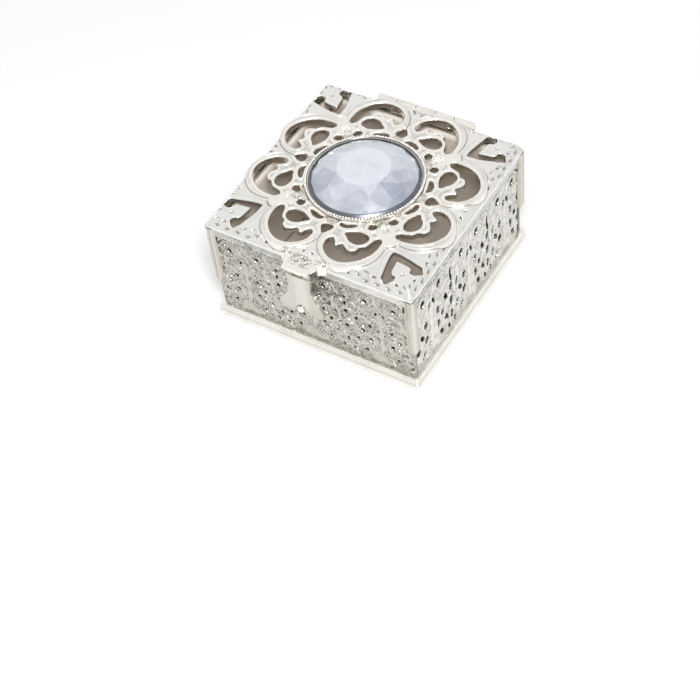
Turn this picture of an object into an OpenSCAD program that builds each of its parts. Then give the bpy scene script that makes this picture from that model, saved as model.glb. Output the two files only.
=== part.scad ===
// Square silver-plated keepsake box with an openwork flower lid, a round faceted stone and a front hasp.
// Origin: centre of the underside of the base. +Z up, front (hasp side) towards -Y.

/* [Case] */
// Side of the square that the lid's lower edge makes
lid_size = 50; // [50:1:58]
// Height of the flower's face above the table
box_h = 29.5; // [28:0.5:36]
// Thickness of the base plate
base_t = 1.1; // [0.8:0.1:1.4]
// How far the base plate's edge stands out past the lid's edge
base_out = 0.6; // [0.5:0.1:1]
// Height of the plinth frame on the base plate
plinth_h = 1.8; // [1.4:0.1:2.4]
// How far the plinth frame's ridge stands out past the lid's edge
ridge_out = 0.2; // [0:0.1:0.4]
// Height of the ridge bead at the top of the plinth frame
ridge_h = 0.8; // [0.6:0.1:1]
// Depth of the cove under the ridge bead
cove_d = 0.35; // [0.2:0.05:0.5]
// Height of the top rails
rail_h = 2.4; // [2:0.1:3]
// Set-back of the rails behind the lid's edge
rail_inset = 0.2; // [0.1:0.05:0.3]
// Set-back of the panels' ground behind the lid's edge
panel_inset = 0.7; // [0.6:0.05:0.9]
// Thickness of the pierced panels
panel_t = 1; // [0.8:0.1:1.4]
// Height of the scroll relief on the panels
relief_h = 0.4; // [0.2:0.05:0.4]
// Radius of the round corner posts
post_r = 1.4; // [1.2:0.05:1.6]
// How far the posts stand out past the lid's edge
post_out = 0.45; // [0.3:0.05:0.6]
// Height of the posts' round lower ends above the plinth frame
post_foot = 7; // [4:0.5:12]
// Radius of the hollow corners where the rails meet the posts
rail_corner = 1.4; // [1:0.1:1.6]

/* [Panel ornament] */
// Width of one repeat of the panel ornament
motif_pitch = 16.6; // [15:0.2:18]
// Plain margin at each end of a panel
panel_margin = 3.6; // [3.5:0.1:5]
// Width of the raised scroll bands
scroll_w = 0.6; // [0.4:0.05:0.8]
// Radius of the large scrolls
scroll_r = 2.5; // [2.2:0.05:2.7]
// Radius of the rings round the upper piercings
ring_r = 1.5; // [1.4:0.05:1.7]
// Length of the ribs of the shell at the foot of each repeat
shell_rib = 2.6; // [2:0.1:3]
// Number of ribs in each shell
shell_ribs = 5; // [3:2:7]

/* [Lining] */
// Thickness of the fabric lining
lining_t = 0.7; // [0.5:0.1:1]
// Set-back of the lining's upper edge under the top of the rails
lining_drop = 0.5; // [0.3:0.1:1]
// Clearance round the lining pieces
lining_gap = 0.05; // [0.02:0.01:0.1]

/* [Lid] */
// Drop from the flower's face to the lid's lower edge
lid_drop = 2.8; // [2.6:0.1:3.4]
// Gap between the closed lid and the rails
lid_gap = 0.1; // [0.05:0.05:0.2]
// Height of the flower's face above the lid's sheet
flower_raise = 0.5; // [0.3:0.05:0.7]
// Thickness of the pierced sheet
sheet_t = 1; // [0.8:0.1:1.1]
// Width of the rim round the hollow underside
rim_w = 1; // [0.9:0.05:1.1]
// Width of the sloping border
bevel_w = 1.5; // [1.2:0.1:1.8]
// Height of the upright land under the slope
land_h = 0.5; // [0.4:0.1:0.8]
// Outer radius of a petal
petal_r = 7.1; // [6.9:0.05:7.1]
// Distance of a petal's centre to the side of the lid's centre line
petal_side = 7; // [6.8:0.05:7]
// Distance of a petal's centre from the lid's centre, towards the edge
petal_out = 17.7; // [17.5:0.05:17.7]
// Side of the square pads between the petals
pad_w = 3.4; // [2.8:0.1:3.8]
// Distance of a pad's centre from each centre line
pad_at = 11.8; // [11.6:0.1:12]
// Height of the pads above the flower's face
pad_raise = 0.3; // [0.2:0.05:0.5]
// Radius of the webs that join the petals outside the pads
web_r = 2; // [1.8:0.1:2.2]
// Radius of the collar round the setting
collar_r = 15.3; // [15.1:0.1:15.6]
// Drop of the collar below the flower's face
collar_drop = 0.2; // [0.1:0.05:0.3]
// Distance of a heart's point from the lid's edge
heart_inset = 9.2; // [9.1:0.05:9.3]
// Length of the small slots in the border
slot_l = 1.3; // [1:0.1:1.5]
// Width of the small slots in the border
slot_w = 0.45; // [0.3:0.05:0.6]

/* [Stone and setting] */
// Radius of the stone
stone_r = 12.2; // [11.6:0.1:12.2]
// Height of the stone's faceted crown
crown_h = 3; // [2:0.1:3.6]
// Radius of the stone's flat table
table_r = 6.4; // [5.6:0.1:7.2]
// Thickness of the foil disc under the stone
foil_t = 0.2; // [0.1:0.05:0.3]
// Thickness of the setting's wall
bezel_t = 0.7; // [0.6:0.05:0.8]
// Thickness of the setting's floor
cup_floor_t = 0.5; // [0.4:0.05:0.6]
// Thickness of the ledge in the lid that carries the setting
ledge_t = 0.3; // [0.2:0.05:0.4]
// Width of that ledge
ledge_w = 1.2; // [0.8:0.1:1.6]
// Height of the setting's lip above the flower's face
bezel_rise = 0.4; // [0.3:0.05:0.5]
// Clearance round the stone, the foil and the setting
stone_gap = 0.05; // [0.02:0.01:0.1]
// Number of beads round the setting
bead_count = 84; // [72:2:84]
// Radius of one bead
bead_r = 0.42; // [0.3:0.02:0.44]
// Radius of the wire that carries the beads
wire_r = 0.3; // [0.2:0.02:0.32]

/* [Back hinge] */
// Length of the hinge
hinge_l = 24; // [20:1:30]
// Outer radius of the knuckles
knuckle_r = 1.2; // [1.1:0.05:1.3]
// Radius of the hinge pin
pin_r = 0.55; // [0.45:0.05:0.65]
// Running clearance round both hinge pins
pin_gap = 0.03; // [0.02:0.01:0.08]
// Distance of the hinge axis behind the lid's edge
axis_back = 1.5; // [1.45:0.05:1.8]
// Gap between neighbouring knuckles
knuckle_gap = 0.1; // [0.05:0.05:0.2]
// Thickness of the hinge strips
strip_t = 0.6; // [0.5:0.05:0.6]
// Height of the case's hinge strip
strip_h = 2; // [1.6:0.1:2.6]

/* [Clasp] */
// Half width of the lug at the lid
lug_root = 5.5; // [5:0.1:6]
// Half width of the lug at its front edge
lug_tip = 3.1; // [2.4:0.1:3.3]
// How far the lug stands out past the lid's edge
lug_out = 4; // [3.8:0.1:4.6]
// Height of the lug
lug_h = 1.9; // [1.7:0.1:2]
// Drop of the lug's top below the flower's face
lug_drop = 0.8; // [0.6:0.1:0.8]
// Thickness of the lug's front lip
lip_t = 0.6; // [0.5:0.05:0.7]
// Distance of the clasp pin in front of the lid's edge
clasp_out = 2.6; // [2.5:0.1:2.8]
// Radius of the clasp's knuckles
clasp_knuckle_r = 0.85; // [0.8:0.05:0.9]
// Radius of the clasp pin
clasp_pin_r = 0.4; // [0.3:0.05:0.5]
// Half width of the lug's own knuckle
lug_knuckle = 1.2; // [1:0.1:1.4]
// Half width of the hasp at its knuckles
hasp_top = 3.1; // [2.9:0.1:3.3]
// Half width of the hasp at its waist
hasp_waist = 2.8; // [2.4:0.1:3]
// Half width of the hasp across its two prongs
hasp_foot = 5.5; // [4.6:0.1:5.8]
// Length of the hasp below its pin
hasp_l = 12; // [11:0.1:12.4]
// Thickness of the hasp
hasp_t = 0.6; // [0.5:0.05:0.7]
// Radius of the catch stud
stud_r = 0.8; // [0.6:0.05:0.9]
// Clearance between the stud and the hasp's arch
stud_gap = 0.25; // [0.15:0.05:0.3]
// How far the stud stands out past the hasp
stud_proud = 0.6; // [0.4:0.1:0.9]

/* [Hidden] */
$fn = 64;
silver = [0.93, 0.92, 0.9];
shade_silver = [0.74, 0.73, 0.69];
taupe = [0.6, 0.55, 0.49];
ice_blue = [0.85, 0.88, 0.93];

cut = 0.01;
lid_half = lid_size / 2;
lid_z = box_h - lid_drop;
seat_z = lid_z - lid_gap;
plinth_top = base_t + plinth_h;
rail_z = seat_z - rail_h;
rail_half = lid_half - rail_inset;
ground_half = lid_half - panel_inset;
inner_half = ground_half - panel_t;
post_at = lid_half + post_out - post_r;
sheet_top = box_h - flower_raise;
sheet_under = sheet_top - sheet_t;
hollow_half = lid_half - rim_w;
bezel_r = stone_r + stone_gap + bezel_t;
bezel_top = box_h + bezel_rise;
ring_at = bezel_r + stone_gap + wire_r;
ring_out = ring_at + 2 * bead_r - wire_r;
cup_z = sheet_under + ledge_t;
foil_z = cup_z + cup_floor_t;
stone_z = foil_z + foil_t;
axis_y = lid_half + axis_back;
axis_z = lid_z + 0.05;
clasp_y = -lid_half - clasp_out;
lug_top = box_h - lug_drop;
clasp_z = lug_top - lip_t - 0.15 - clasp_knuckle_r;
hasp_foot_z = clasp_z - hasp_l;
arch_top = hasp_foot_z + 2.35;
stud_z = arch_top - stud_gap - stud_r;
stud_end = clasp_y - clasp_knuckle_r - stud_proud;

// Closed curve through the points, with n steps between neighbours
function bend(a, b, c, d, t) =
    0.5 * (2 * b + (c - a) * t + (2 * a - 5 * b + 4 * c - d) * t * t + (3 * b - a - 3 * c + d) * t * t * t);
function loop_curve(p, n) = [for (i = [0:len(p) - 1], k = [0:n - 1])
    bend(p[(i + len(p) - 1) % len(p)], p[i], p[(i + 1) % len(p)], p[(i + 2) % len(p)], k / n)];
// Open curve through the points, from the first to the last
function open_curve(p, n) = concat([for (i = [0:len(p) - 2], k = [0:n - 1])
    bend(p[max(i - 1, 0)], p[i], p[i + 1], p[min(i + 2, len(p) - 1)], k / n)], [p[len(p) - 1]]);
function swapped(p) = [for (i = [len(p) - 2:-1:1]) [p[i][1], p[i][0]]];
function moved(p, at) = [for (q = p) q + at];
function sized(p, k) = [for (q = p) q * k];
function half_mirrored(p) = concat(p, [for (i = [len(p) - 1:-1:0]) if (p[i][0] > cut) [-p[i][0], p[i][1]]]);

// Side of the lid that the flower is drawn for; the flower grows with the lid
drawn_lid = 50;
lid_k = lid_size / drawn_lid;
flower_r = petal_r * lid_k;
petal_at = [petal_side, petal_out] * lid_k;
// Openings of one petal, in millimetres from its centre for a petal of the drawn radius
drawn_petal = 7.1;
petal_k = flower_r / drawn_petal;
crescent = [[-4.35, 0.15], [-5.2, 1], [-5, 2.6], [-4.2, 3.9], [-2.8, 5], [-1.1, 5.6], [0.8, 5.5], [2.7, 4.5],
    [4.2, 3], [5.2, 1.2], [5.65, -0.8], [5.6, -2.7], [4.8, -3.5], [3.95, -2.8], [3.6, -1.6], [3.2, -0.5],
    [2.1, 0.4], [1.9, 1.4], [0.8, 2.15], [-0.4, 1.8], [-1.6, 1.05], [-2.7, 2], [-3.45, 0.9]];
teardrop = [[-2.6, -2.1], [-1.5, -2.9], [-0.1, -3.5], [1.4, -3.5], [2.5, -2.9], [2.75, -1.9], [2.2, -0.8],
    [1, -0.1], [-0.5, -0.3], [-1.7, -1.2]];
// Openings between the petals and the setting, in millimetres from the lid's centre
spade = [[-1.3, 15.8], [-0.8, 14.95], [0.8, 14.95], [1.3, 15.8], [0.8, 16.7], [0, 17.6], [-0.8, 16.7]];
near_lens = [[1.9, 13.55], [3.1, 13.4], [5.4, 12.65], [5.3, 13.4], [4, 14.3], [2.6, 14.4]];
far_lens = [[7.9, 11.6], [8.6, 11], [9.4, 11.1], [9.6, 12], [9, 12.7], [8.1, 12.6]];
// Upper half of a heart opening, from its point to its notch, in millimetres from the point
heart_arm = [[0, 0], [2, 0.05], [4.2, 0.45], [5.9, 0.9], [7.4, 1.3], [8.15, 2.4], [7.7, 3.4], [6.8, 3.9],
    [5.8, 3.6], [5.5, 2.7], [5.1, 1.95], [3.7, 2.25], [2.5, 2.15], [2.1, 2.1]];
heart_at = lid_half - heart_inset * lid_k;

// The panels are drawn for a case of the first height and stretch with the case
drawn_low = 2.9;
drawn_high = 24.2;
panel_k = (rail_z - plinth_top) / (drawn_high - drawn_low);
function panel_z(z) = plinth_top + (z - drawn_low) * panel_k;
// Piercings of one half repeat of the panel: distance from the repeat's centre, height above the table,
// width, height and tilt
piercings = [[3.4, 21.2, 1.5, 1.4, 0], [8.3, 20.2, 0.7, 1.4, 0], [8.3, 18.4, 0.7, 1.4, 0],
    [0.9, 18.5, 0.6, 1.3, 20], [8.3, 15.8, 1.2, 1.7, 0], [5.9, 14.8, 0.9, 1.7, 20], [2.6, 14, 1.1, 1.4, 0],
    [4.4, 11.8, 1, 1.3, -30], [8.3, 11.4, 1.2, 1.6, 0], [2.6, 9.7, 1.1, 1.6, 0], [5.9, 8.6, 0.9, 1.3, 30],
    [8.3, 7.4, 0.8, 1.5, 0], [3.9, 5.9, 0.9, 1.5, 35], [7, 4.9, 0.8, 1.2, 0]];
// Rings and scrolls of one half repeat: distance from the repeat's centre, height, radius, first angle, sweep
rings = [[3.4, 21.2, ring_r, 0, 360]];
scrolls = [[4.2, 13.7, scroll_r, -120, 250], [3.6, 9, scroll_r * 0.72, 10, 240],
    [6.6, 18.2, scroll_r * 0.66, 160, 210], [7, 6.6, scroll_r * 0.6, -60, 220],
    [1.5, 17.1, scroll_r * 0.5, 80, 200]];

module silver_casting() { color(silver) children(); }
module shaded_casting() { color(shade_silver) children(); }

// A centred square slab of the given half side between two heights
module slab(half, z0, z1) {
    translate([-half, -half, z0]) cube([2 * half, 2 * half, z1 - z0]);
}

// A box from one corner to the other
module block(lo, hi) { translate(lo) cube(hi - lo); }

// Two-dimensional pointed oval
module oval(w, h) {
    polygon([for (a = [0:36:324]) [w / 2 * sin(a), h / 2 * cos(a)]]);
}

// Two-dimensional band along an arc
module arc_band(r, w, first, sweep) {
    steps = max(6, ceil(sweep / 24));
    outer = [for (i = [0:steps]) (r + w / 2) * [cos(first + sweep * i / steps), sin(first + sweep * i / steps)]];
    inner = [for (i = [steps:-1:0]) (r - w / 2) * [cos(first + sweep * i / steps), sin(first + sweep * i / steps)]];
    if (sweep < 360) polygon(concat(outer, inner));
    else difference() {
        circle(r = r + w / 2, $fn = 12);
        circle(r = r - w / 2, $fn = 12);
    }
}

module base_plate() {
    silver_casting() slab(lid_half + base_out, 0, base_t);
}

module plinth_frame() {
    ridge_half = lid_half + ridge_out;
    silver_casting() difference() {
        union() {
            slab(ridge_half, base_t, base_t + plinth_h / 4);
            slab(ridge_half - cove_d, base_t, plinth_top);
            slab(ridge_half, plinth_top - ridge_h, plinth_top);
        }
        slab(inner_half, base_t - cut, plinth_top + cut);
    }
}

// Places its children once for each side of each repeat whose centre line item lies on the clear panel
module repeats(u, clear) {
    copies = ceil(lid_half / motif_pitch);
    sides = u == 0 || abs(u - motif_pitch / 2) < 0.1 ? [1] : [-1, 1];
    for (i = [-copies:copies], s = sides)
        if (abs(i * motif_pitch + s * u) < clear)
            translate([i * motif_pitch + s * u, 0]) scale([s, 1]) children();
}

// A pierced relief panel lying in the XZ plane, its ground's face at y = 0 and its back towards +Y
module relief_panel(half_w, low, high) {
    clear = ground_half - panel_margin;
    difference() {
        union() {
            block([-half_w, 0, low], [half_w, panel_t, high]);
            rotate([90, 0, 0]) linear_extrude(relief_h) {
                for (r = concat(rings, scrolls))
                    repeats(r[0], clear - r[2]) translate([0, panel_z(r[1])]) arc_band(r[2], scroll_w, r[3], r[4]);
                repeats(0, clear - shell_rib)
                    for (k = [0:shell_ribs - 1])
                        translate([0, low + 0.5]) rotate(60 - 120 * k / (shell_ribs - 1))
                            translate([0, 0.9 + shell_rib / 2]) oval(0.7, shell_rib);
            }
        }
        rotate([90, 0, 0]) translate([0, 0, -panel_t - cut]) linear_extrude(panel_t + relief_h + 2 * cut)
            for (p = piercings)
                repeats(p[0], clear) translate([0, panel_z(p[1])]) rotate(p[4]) oval(p[2], p[3] * panel_k);
    }
}

module front_panel() {
    shaded_casting() difference() {
        translate([0, -ground_half, 0]) relief_panel(ground_half, plinth_top, rail_z);
        translate([0, -ground_half, stud_z]) rotate([90, 0, 0]) cylinder(r = 2 * stud_r, h = relief_h + cut);
    }
}

module back_panel() {
    shaded_casting() rotate(180) translate([0, -ground_half, 0]) relief_panel(ground_half, plinth_top, rail_z);
}

module right_panel() {
    silver_casting() rotate(90) translate([0, -ground_half, 0]) relief_panel(inner_half, plinth_top, rail_z);
}

module left_panel() {
    silver_casting() rotate(-90) translate([0, -ground_half, 0]) relief_panel(inner_half, plinth_top, rail_z);
}

// A top rail with a hollow corner hanging from each end, in front of the panel's ground
module rail(half_l) {
    block([-half_l, -rail_half, rail_z], [half_l, -inner_half, seat_z]);
    corner_x = post_at - post_r;
    for (s = [-1, 1]) scale([s, 1, 1]) difference() {
        block([corner_x - rail_corner, -rail_half, rail_z - rail_corner], [corner_x, -ground_half, rail_z]);
        translate([corner_x - rail_corner, 0, rail_z - rail_corner]) rotate([90, 0, 0])
            cylinder(r = rail_corner, h = lid_size);
    }
}

module front_rail() { shaded_casting() rail(rail_half); }
module back_rail() { shaded_casting() rotate(180) rail(rail_half); }
module right_rail() { silver_casting() rotate(90) rail(inner_half); }
module left_rail() { silver_casting() rotate(-90) rail(inner_half); }

// Round bead that covers one corner of the case
module corner_post(sx, sy) {
    foot_z = plinth_top + post_foot + post_r;
    silver_casting() difference() {
        translate([sx * post_at, sy * post_at, foot_z]) {
            cylinder(r = post_r, h = seat_z - foot_z);
            sphere(r = post_r);
        }
        slab(ground_half, plinth_top, rail_z);
        slab(rail_half, rail_z - cut, seat_z + cut);
    }
}

module catch_stud() {
    neck = -ground_half - stud_end - stud_r / 2;
    silver_casting() translate([0, -ground_half, stud_z]) rotate([90, 0, 0]) {
        cylinder(r = 1.6 * stud_r, h = 0.5);
        cylinder(r = stud_r, h = neck);
        intersection() {
            translate([0, 0, neck - stud_r * 0.75]) sphere(r = stud_r * 1.25);
            translate([0, 0, neck]) cylinder(r = stud_r, h = stud_r);
        }
    }
}

// Spans of the five knuckles along X, as [low, high]; the case has the even ones
knuckle_pitch = hinge_l / 5;
function knuckle_span(i) = [-hinge_l / 2 + i * knuckle_pitch + (i > 0 ? knuckle_gap / 2 : 0),
    -hinge_l / 2 + (i + 1) * knuckle_pitch - (i < 4 ? knuckle_gap / 2 : 0)];

module barrel(span, y, z, r) {
    translate([span[0], y, z]) rotate([0, 90, 0]) cylinder(r = r, h = span[1] - span[0]);
}

module case_hinge_strip() {
    strip_top = axis_z - knuckle_r - 0.35;
    silver_casting() difference() {
        union() {
            block([-hinge_l / 2, rail_half, strip_top - strip_h], [hinge_l / 2, rail_half + strip_t, strip_top]);
            for (i = [0, 2, 4]) {
                s = knuckle_span(i);
                barrel(s, axis_y, axis_z, knuckle_r);
                block([s[0], rail_half, strip_top - cut], [s[1], axis_y - 0.6, axis_z - 0.6]);
            }
        }
        barrel([-hinge_l, hinge_l], axis_y, axis_z, pin_r + pin_gap);
    }
}

module lid_hinge_strip() {
    silver_casting() difference() {
        union() {
            block([knuckle_span(1)[0], hollow_half - strip_t, lid_z + 0.1], [knuckle_span(3)[1], hollow_half,
                sheet_under]);
            for (i = [1, 3]) {
                s = knuckle_span(i);
                barrel(s, axis_y, axis_z, knuckle_r);
                block([s[0], hollow_half - cut, lid_z + 0.1], [s[1], axis_y, lid_z + 0.1 + strip_t]);
            }
        }
        barrel([-hinge_l, hinge_l], axis_y, axis_z, pin_r + pin_gap);
    }
}

module hinge_pin() {
    silver_casting() barrel([-hinge_l / 2 - 0.3, hinge_l / 2 + 0.3], axis_y, axis_z, pin_r);
}

module floor_lining() {
    color(taupe) slab(inner_half - lining_gap, base_t, base_t + lining_t);
}

// One wall's lining piece, standing on the floor lining
module wall_lining(half_l) {
    outer = inner_half - lining_gap;
    color(taupe) block([-half_l, -outer, base_t + lining_t], [half_l, -outer + lining_t, seat_z - lining_drop]);
}

module front_lining() { wall_lining(inner_half - lining_gap); }
module back_lining() { rotate(180) wall_lining(inner_half - lining_gap); }
module right_lining() { rotate(90) wall_lining(inner_half - 2 * lining_gap - lining_t); }
module left_lining() { rotate(-90) wall_lining(inner_half - 2 * lining_gap - lining_t); }

// The lid's sheet with its sloping border, still solid
module lid_block() {
    profile = [[-lid_half, lid_z], [lid_half, lid_z], [lid_half, lid_z + land_h], [lid_half - bevel_w, sheet_top],
        [bevel_w - lid_half, sheet_top], [-lid_half, lid_z + land_h]];
    intersection() {
        translate([0, lid_half, 0]) rotate([90, 0, 0]) linear_extrude(lid_size) polygon(profile);
        translate([-lid_half, 0, 0]) rotate([90, 0, 90]) linear_extrude(lid_size) polygon(profile);
    }
}

// Places its children for all eight petals
module eight_fold() {
    for (a = [0:90:270]) rotate(a) {
        children();
        mirror([1, 0]) children();
    }
}

module flower_openings() {
    eight_fold() {
        polygon(loop_curve(moved(sized(crescent, petal_k), petal_at), 3));
        polygon(loop_curve(moved(sized(teardrop, petal_k), petal_at), 3));
        polygon(loop_curve(sized(near_lens, lid_k), 3));
        polygon(loop_curve(sized(far_lens, lid_k), 3));
    }
    arm = open_curve(sized(heart_arm, lid_k), 3);
    for (a = [0:90:270]) rotate(a) {
        polygon(loop_curve(sized(spade, lid_k), 3));
        polygon(moved(concat(arm, swapped(arm)), [heart_at, heart_at]));
    }
}

// Small slots of the lacework border, in two rows between the petals and the corners
module border_slots() {
    row = lid_half - bevel_w;
    for (a = [0:90:270], s = [-1, 1]) rotate(a) {
        for (x = [petal_at[0] + flower_r + 1.4:2.6:lid_half - 3])
            translate([s * x, row]) rotate(s * 12) square([slot_l, slot_w], center = true);
        translate([s * 1, row - 0.1]) rotate(s * 60) square([slot_w, slot_l], center = true);
    }
}

module lid_plate() {
    silver_casting() difference() {
        union() {
            lid_block();
            translate([0, 0, lid_z + land_h]) linear_extrude(lid_drop - land_h) {
                eight_fold() translate(petal_at) circle(r = flower_r);
                for (a = [0:90:270]) rotate(a) scale(lid_k) translate([pad_at + 1.8, pad_at + 1.8]) circle(r = web_r);
            }
            translate([0, 0, sheet_under]) cylinder(r = collar_r * lid_k, h = box_h - collar_drop - sheet_under);
            for (a = [0:90:270]) rotate(a) scale([lid_k, lid_k, 1])
                translate([pad_at - pad_w / 2, pad_at - pad_w / 2, sheet_under])
                    cube([pad_w, pad_w, box_h + pad_raise - sheet_under]);
        }
        slab(hollow_half, lid_z - cut, sheet_under);
        translate([0, 0, cup_z]) cylinder(r = bezel_r + stone_gap, h = 3 * lid_drop);
        translate([0, 0, sheet_under - cut]) cylinder(r = bezel_r - ledge_w, h = 3 * lid_drop);
        translate([0, 0, box_h - collar_drop]) cylinder(r = ring_out + stone_gap, h = lid_drop);
        translate([0, 0, lid_z - cut]) linear_extrude(2 * lid_drop) flower_openings();
        translate([0, 0, sheet_under - cut]) linear_extrude(2 * lid_drop) border_slots();
        for (i = [1, 3])
            block([knuckle_span(i)[0] - 0.1, hollow_half - cut, lid_z - cut], [knuckle_span(i)[1] + 0.1,
                lid_half + cut, lid_z + 0.15 + strip_t]);
    }
}

module bezel_cup() {
    silver_casting() difference() {
        translate([0, 0, cup_z]) cylinder(r = bezel_r, h = bezel_top - cup_z);
        translate([0, 0, foil_z]) cylinder(r = stone_r + stone_gap, h = bezel_top);
    }
}

module beaded_ring() {
    ring_z = box_h - collar_drop + wire_r;
    silver_casting() translate([0, 0, ring_z]) {
        rotate_extrude() translate([ring_at, 0]) circle(r = wire_r, $fn = 24);
        for (i = [0:bead_count - 1]) rotate(360 * i / bead_count)
            translate([ring_at + bead_r - wire_r, 0, bead_r - wire_r]) sphere(r = bead_r, $fn = 24);
    }
}

module foil_disc() {
    silver_casting() translate([0, 0, foil_z]) cylinder(r = stone_r, h = foil_t);
}

// Faceted stone: round upright edge, two rows of facets and a flat sixteen-sided table
module crystal() {
    mid_r = (stone_r + table_r) / 2 + 0.5;
    color(ice_blue) {
        translate([0, 0, stone_z]) cylinder(r = stone_r, h = bezel_top - stone_z);
        translate([0, 0, bezel_top]) hull() {
            cylinder(r = stone_r - 0.05, h = 0.1, $fn = 32);
            rotate(11.25) cylinder(r = mid_r, h = crown_h * 0.66, $fn = 16);
            cylinder(r = table_r, h = crown_h, $fn = 16);
        }
    }
}

// Plan of the lug: wide at the lid, sweeping in to its front edge
module lug_plan() {
    back = -lid_half + bevel_w;
    front = -lid_half - lug_out;
    side = open_curve([[lug_root, -lid_half], [lug_root - 1.1, -lid_half - 0.6], [lug_tip + 0.75, -lid_half - 1.9],
        [lug_tip + 0.2, -lid_half - 3], [lug_tip, front]], 3);
    polygon(concat([[-lug_root, back], [lug_root, back]], side, [for (i = [len(side) - 1:-1:0]) [-side[i][0],
        side[i][1]]]));
}

module clasp_lug() {
    silver_casting() difference() {
        union() {
            difference() {
                translate([0, 0, lug_top - lug_h]) linear_extrude(lug_h) lug_plan();
                block([-lug_root, -lid_half - lug_out - cut, lug_top - lug_h - cut],
                    [lug_root, clasp_y + clasp_knuckle_r + 0.2, lug_top - lip_t]);
            }
            barrel([-lug_knuckle, lug_knuckle], clasp_y, clasp_z, clasp_knuckle_r);
            block([-lug_knuckle, clasp_y - 0.4, clasp_z], [lug_knuckle, clasp_y + 0.4, lug_top - lip_t + cut]);
        }
        lid_block();
        translate([0, 0, lid_z + land_h]) linear_extrude(lid_drop) {
            eight_fold() translate(petal_at) circle(r = flower_r);
        }
        barrel([-lug_root, lug_root], clasp_y, clasp_z, clasp_pin_r + pin_gap);
    }
}

module clasp_pin() {
    silver_casting() barrel([-hasp_top, hasp_top], clasp_y, clasp_z, clasp_pin_r);
}

// Front view of the hasp: waisted tongue that ends in two prongs with an arch between them
module hasp_outline() {
    edge = open_curve([[hasp_top, clasp_z], [hasp_top - 0.1, clasp_z - 1.6], [hasp_waist + 0.1, clasp_z - 3.4],
        [hasp_waist, clasp_z - 5.2], [hasp_waist + 0.7, hasp_foot_z + 4.7], [hasp_foot - 0.9, hasp_foot_z + 3.5],
        [hasp_foot - 0.1, hasp_foot_z + 2.2], [hasp_foot - 0.3, hasp_foot_z + 0.8], [hasp_foot - 1.1, hasp_foot_z],
        [hasp_foot - 2.1, hasp_foot_z + 0.1]], 3);
    arch = open_curve([[stud_r + stud_gap + 1, hasp_foot_z + 0.5], [stud_r + stud_gap + 0.2, hasp_foot_z + 1.1],
        [(stud_r + stud_gap) * 0.75, arch_top - 0.3], [0, arch_top]], 3);
    polygon(half_mirrored(concat(edge, arch)));
}

module clasp_hasp() {
    face = clasp_y - clasp_knuckle_r;
    silver_casting() difference() {
        union() {
            translate([0, face + hasp_t, 0]) rotate([90, 0, 0]) linear_extrude(hasp_t) hasp_outline();
            barrel([-hasp_top, hasp_top], clasp_y, clasp_z, clasp_knuckle_r);
        }
        block([-lug_knuckle - knuckle_gap, face - cut, clasp_z - clasp_knuckle_r - 0.15],
            [lug_knuckle + knuckle_gap, clasp_y + clasp_knuckle_r + cut, clasp_z + clasp_knuckle_r + cut]);
        barrel([-lug_root, lug_root], clasp_y, clasp_z, clasp_pin_r + pin_gap);
    }
}

base_plate();
plinth_frame();
front_panel();
back_panel();
left_panel();
right_panel();
front_rail();
back_rail();
left_rail();
right_rail();
corner_post(-1, -1);  // front_left_post
corner_post(1, -1);  // front_right_post
corner_post(-1, 1);  // back_left_post
corner_post(1, 1);  // back_right_post
catch_stud();
case_hinge_strip();
hinge_pin();
floor_lining();
front_lining();
back_lining();
left_lining();
right_lining();
lid_plate();
bezel_cup();
beaded_ring();
foil_disc();
crystal();
lid_hinge_strip();
clasp_lug();
clasp_pin();
clasp_hasp();
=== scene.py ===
"""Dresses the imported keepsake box: silver castings, faceted stone, lining, clasp, hinge and a white stage."""

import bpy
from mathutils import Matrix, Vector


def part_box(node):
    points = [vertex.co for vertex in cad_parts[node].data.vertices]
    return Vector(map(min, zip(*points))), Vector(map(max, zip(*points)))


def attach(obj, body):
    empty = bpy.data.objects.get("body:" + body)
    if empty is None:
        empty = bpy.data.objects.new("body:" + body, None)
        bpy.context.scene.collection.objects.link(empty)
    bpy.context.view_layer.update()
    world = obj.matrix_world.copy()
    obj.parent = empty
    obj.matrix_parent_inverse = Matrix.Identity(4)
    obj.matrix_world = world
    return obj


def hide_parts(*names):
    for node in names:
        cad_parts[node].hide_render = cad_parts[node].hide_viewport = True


bl_info = {
    "name": "Openwork keepsake box",
    "version": (1, 0, 0),
    "blender": (4, 5, 0),
    "location": "3D View > Sidebar > Keepsake box",
    "description": "Builds the castings, stone, lining and clasp of a square openwork keepsake box",
    "category": "Object",
}

import math

import bmesh
import bpy
import numpy as np
from mathutils import Matrix, Vector

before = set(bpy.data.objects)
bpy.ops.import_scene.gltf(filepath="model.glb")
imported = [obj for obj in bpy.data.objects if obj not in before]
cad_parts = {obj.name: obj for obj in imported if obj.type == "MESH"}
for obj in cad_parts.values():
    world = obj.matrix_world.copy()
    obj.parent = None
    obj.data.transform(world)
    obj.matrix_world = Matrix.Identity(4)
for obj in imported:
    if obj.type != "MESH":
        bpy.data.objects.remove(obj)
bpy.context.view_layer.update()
MM = 0.001


def node_mm(node):
    """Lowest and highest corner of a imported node, in millimetres."""
    low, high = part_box(node)
    return [c / MM for c in low], [c / MM for c in high]


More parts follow.
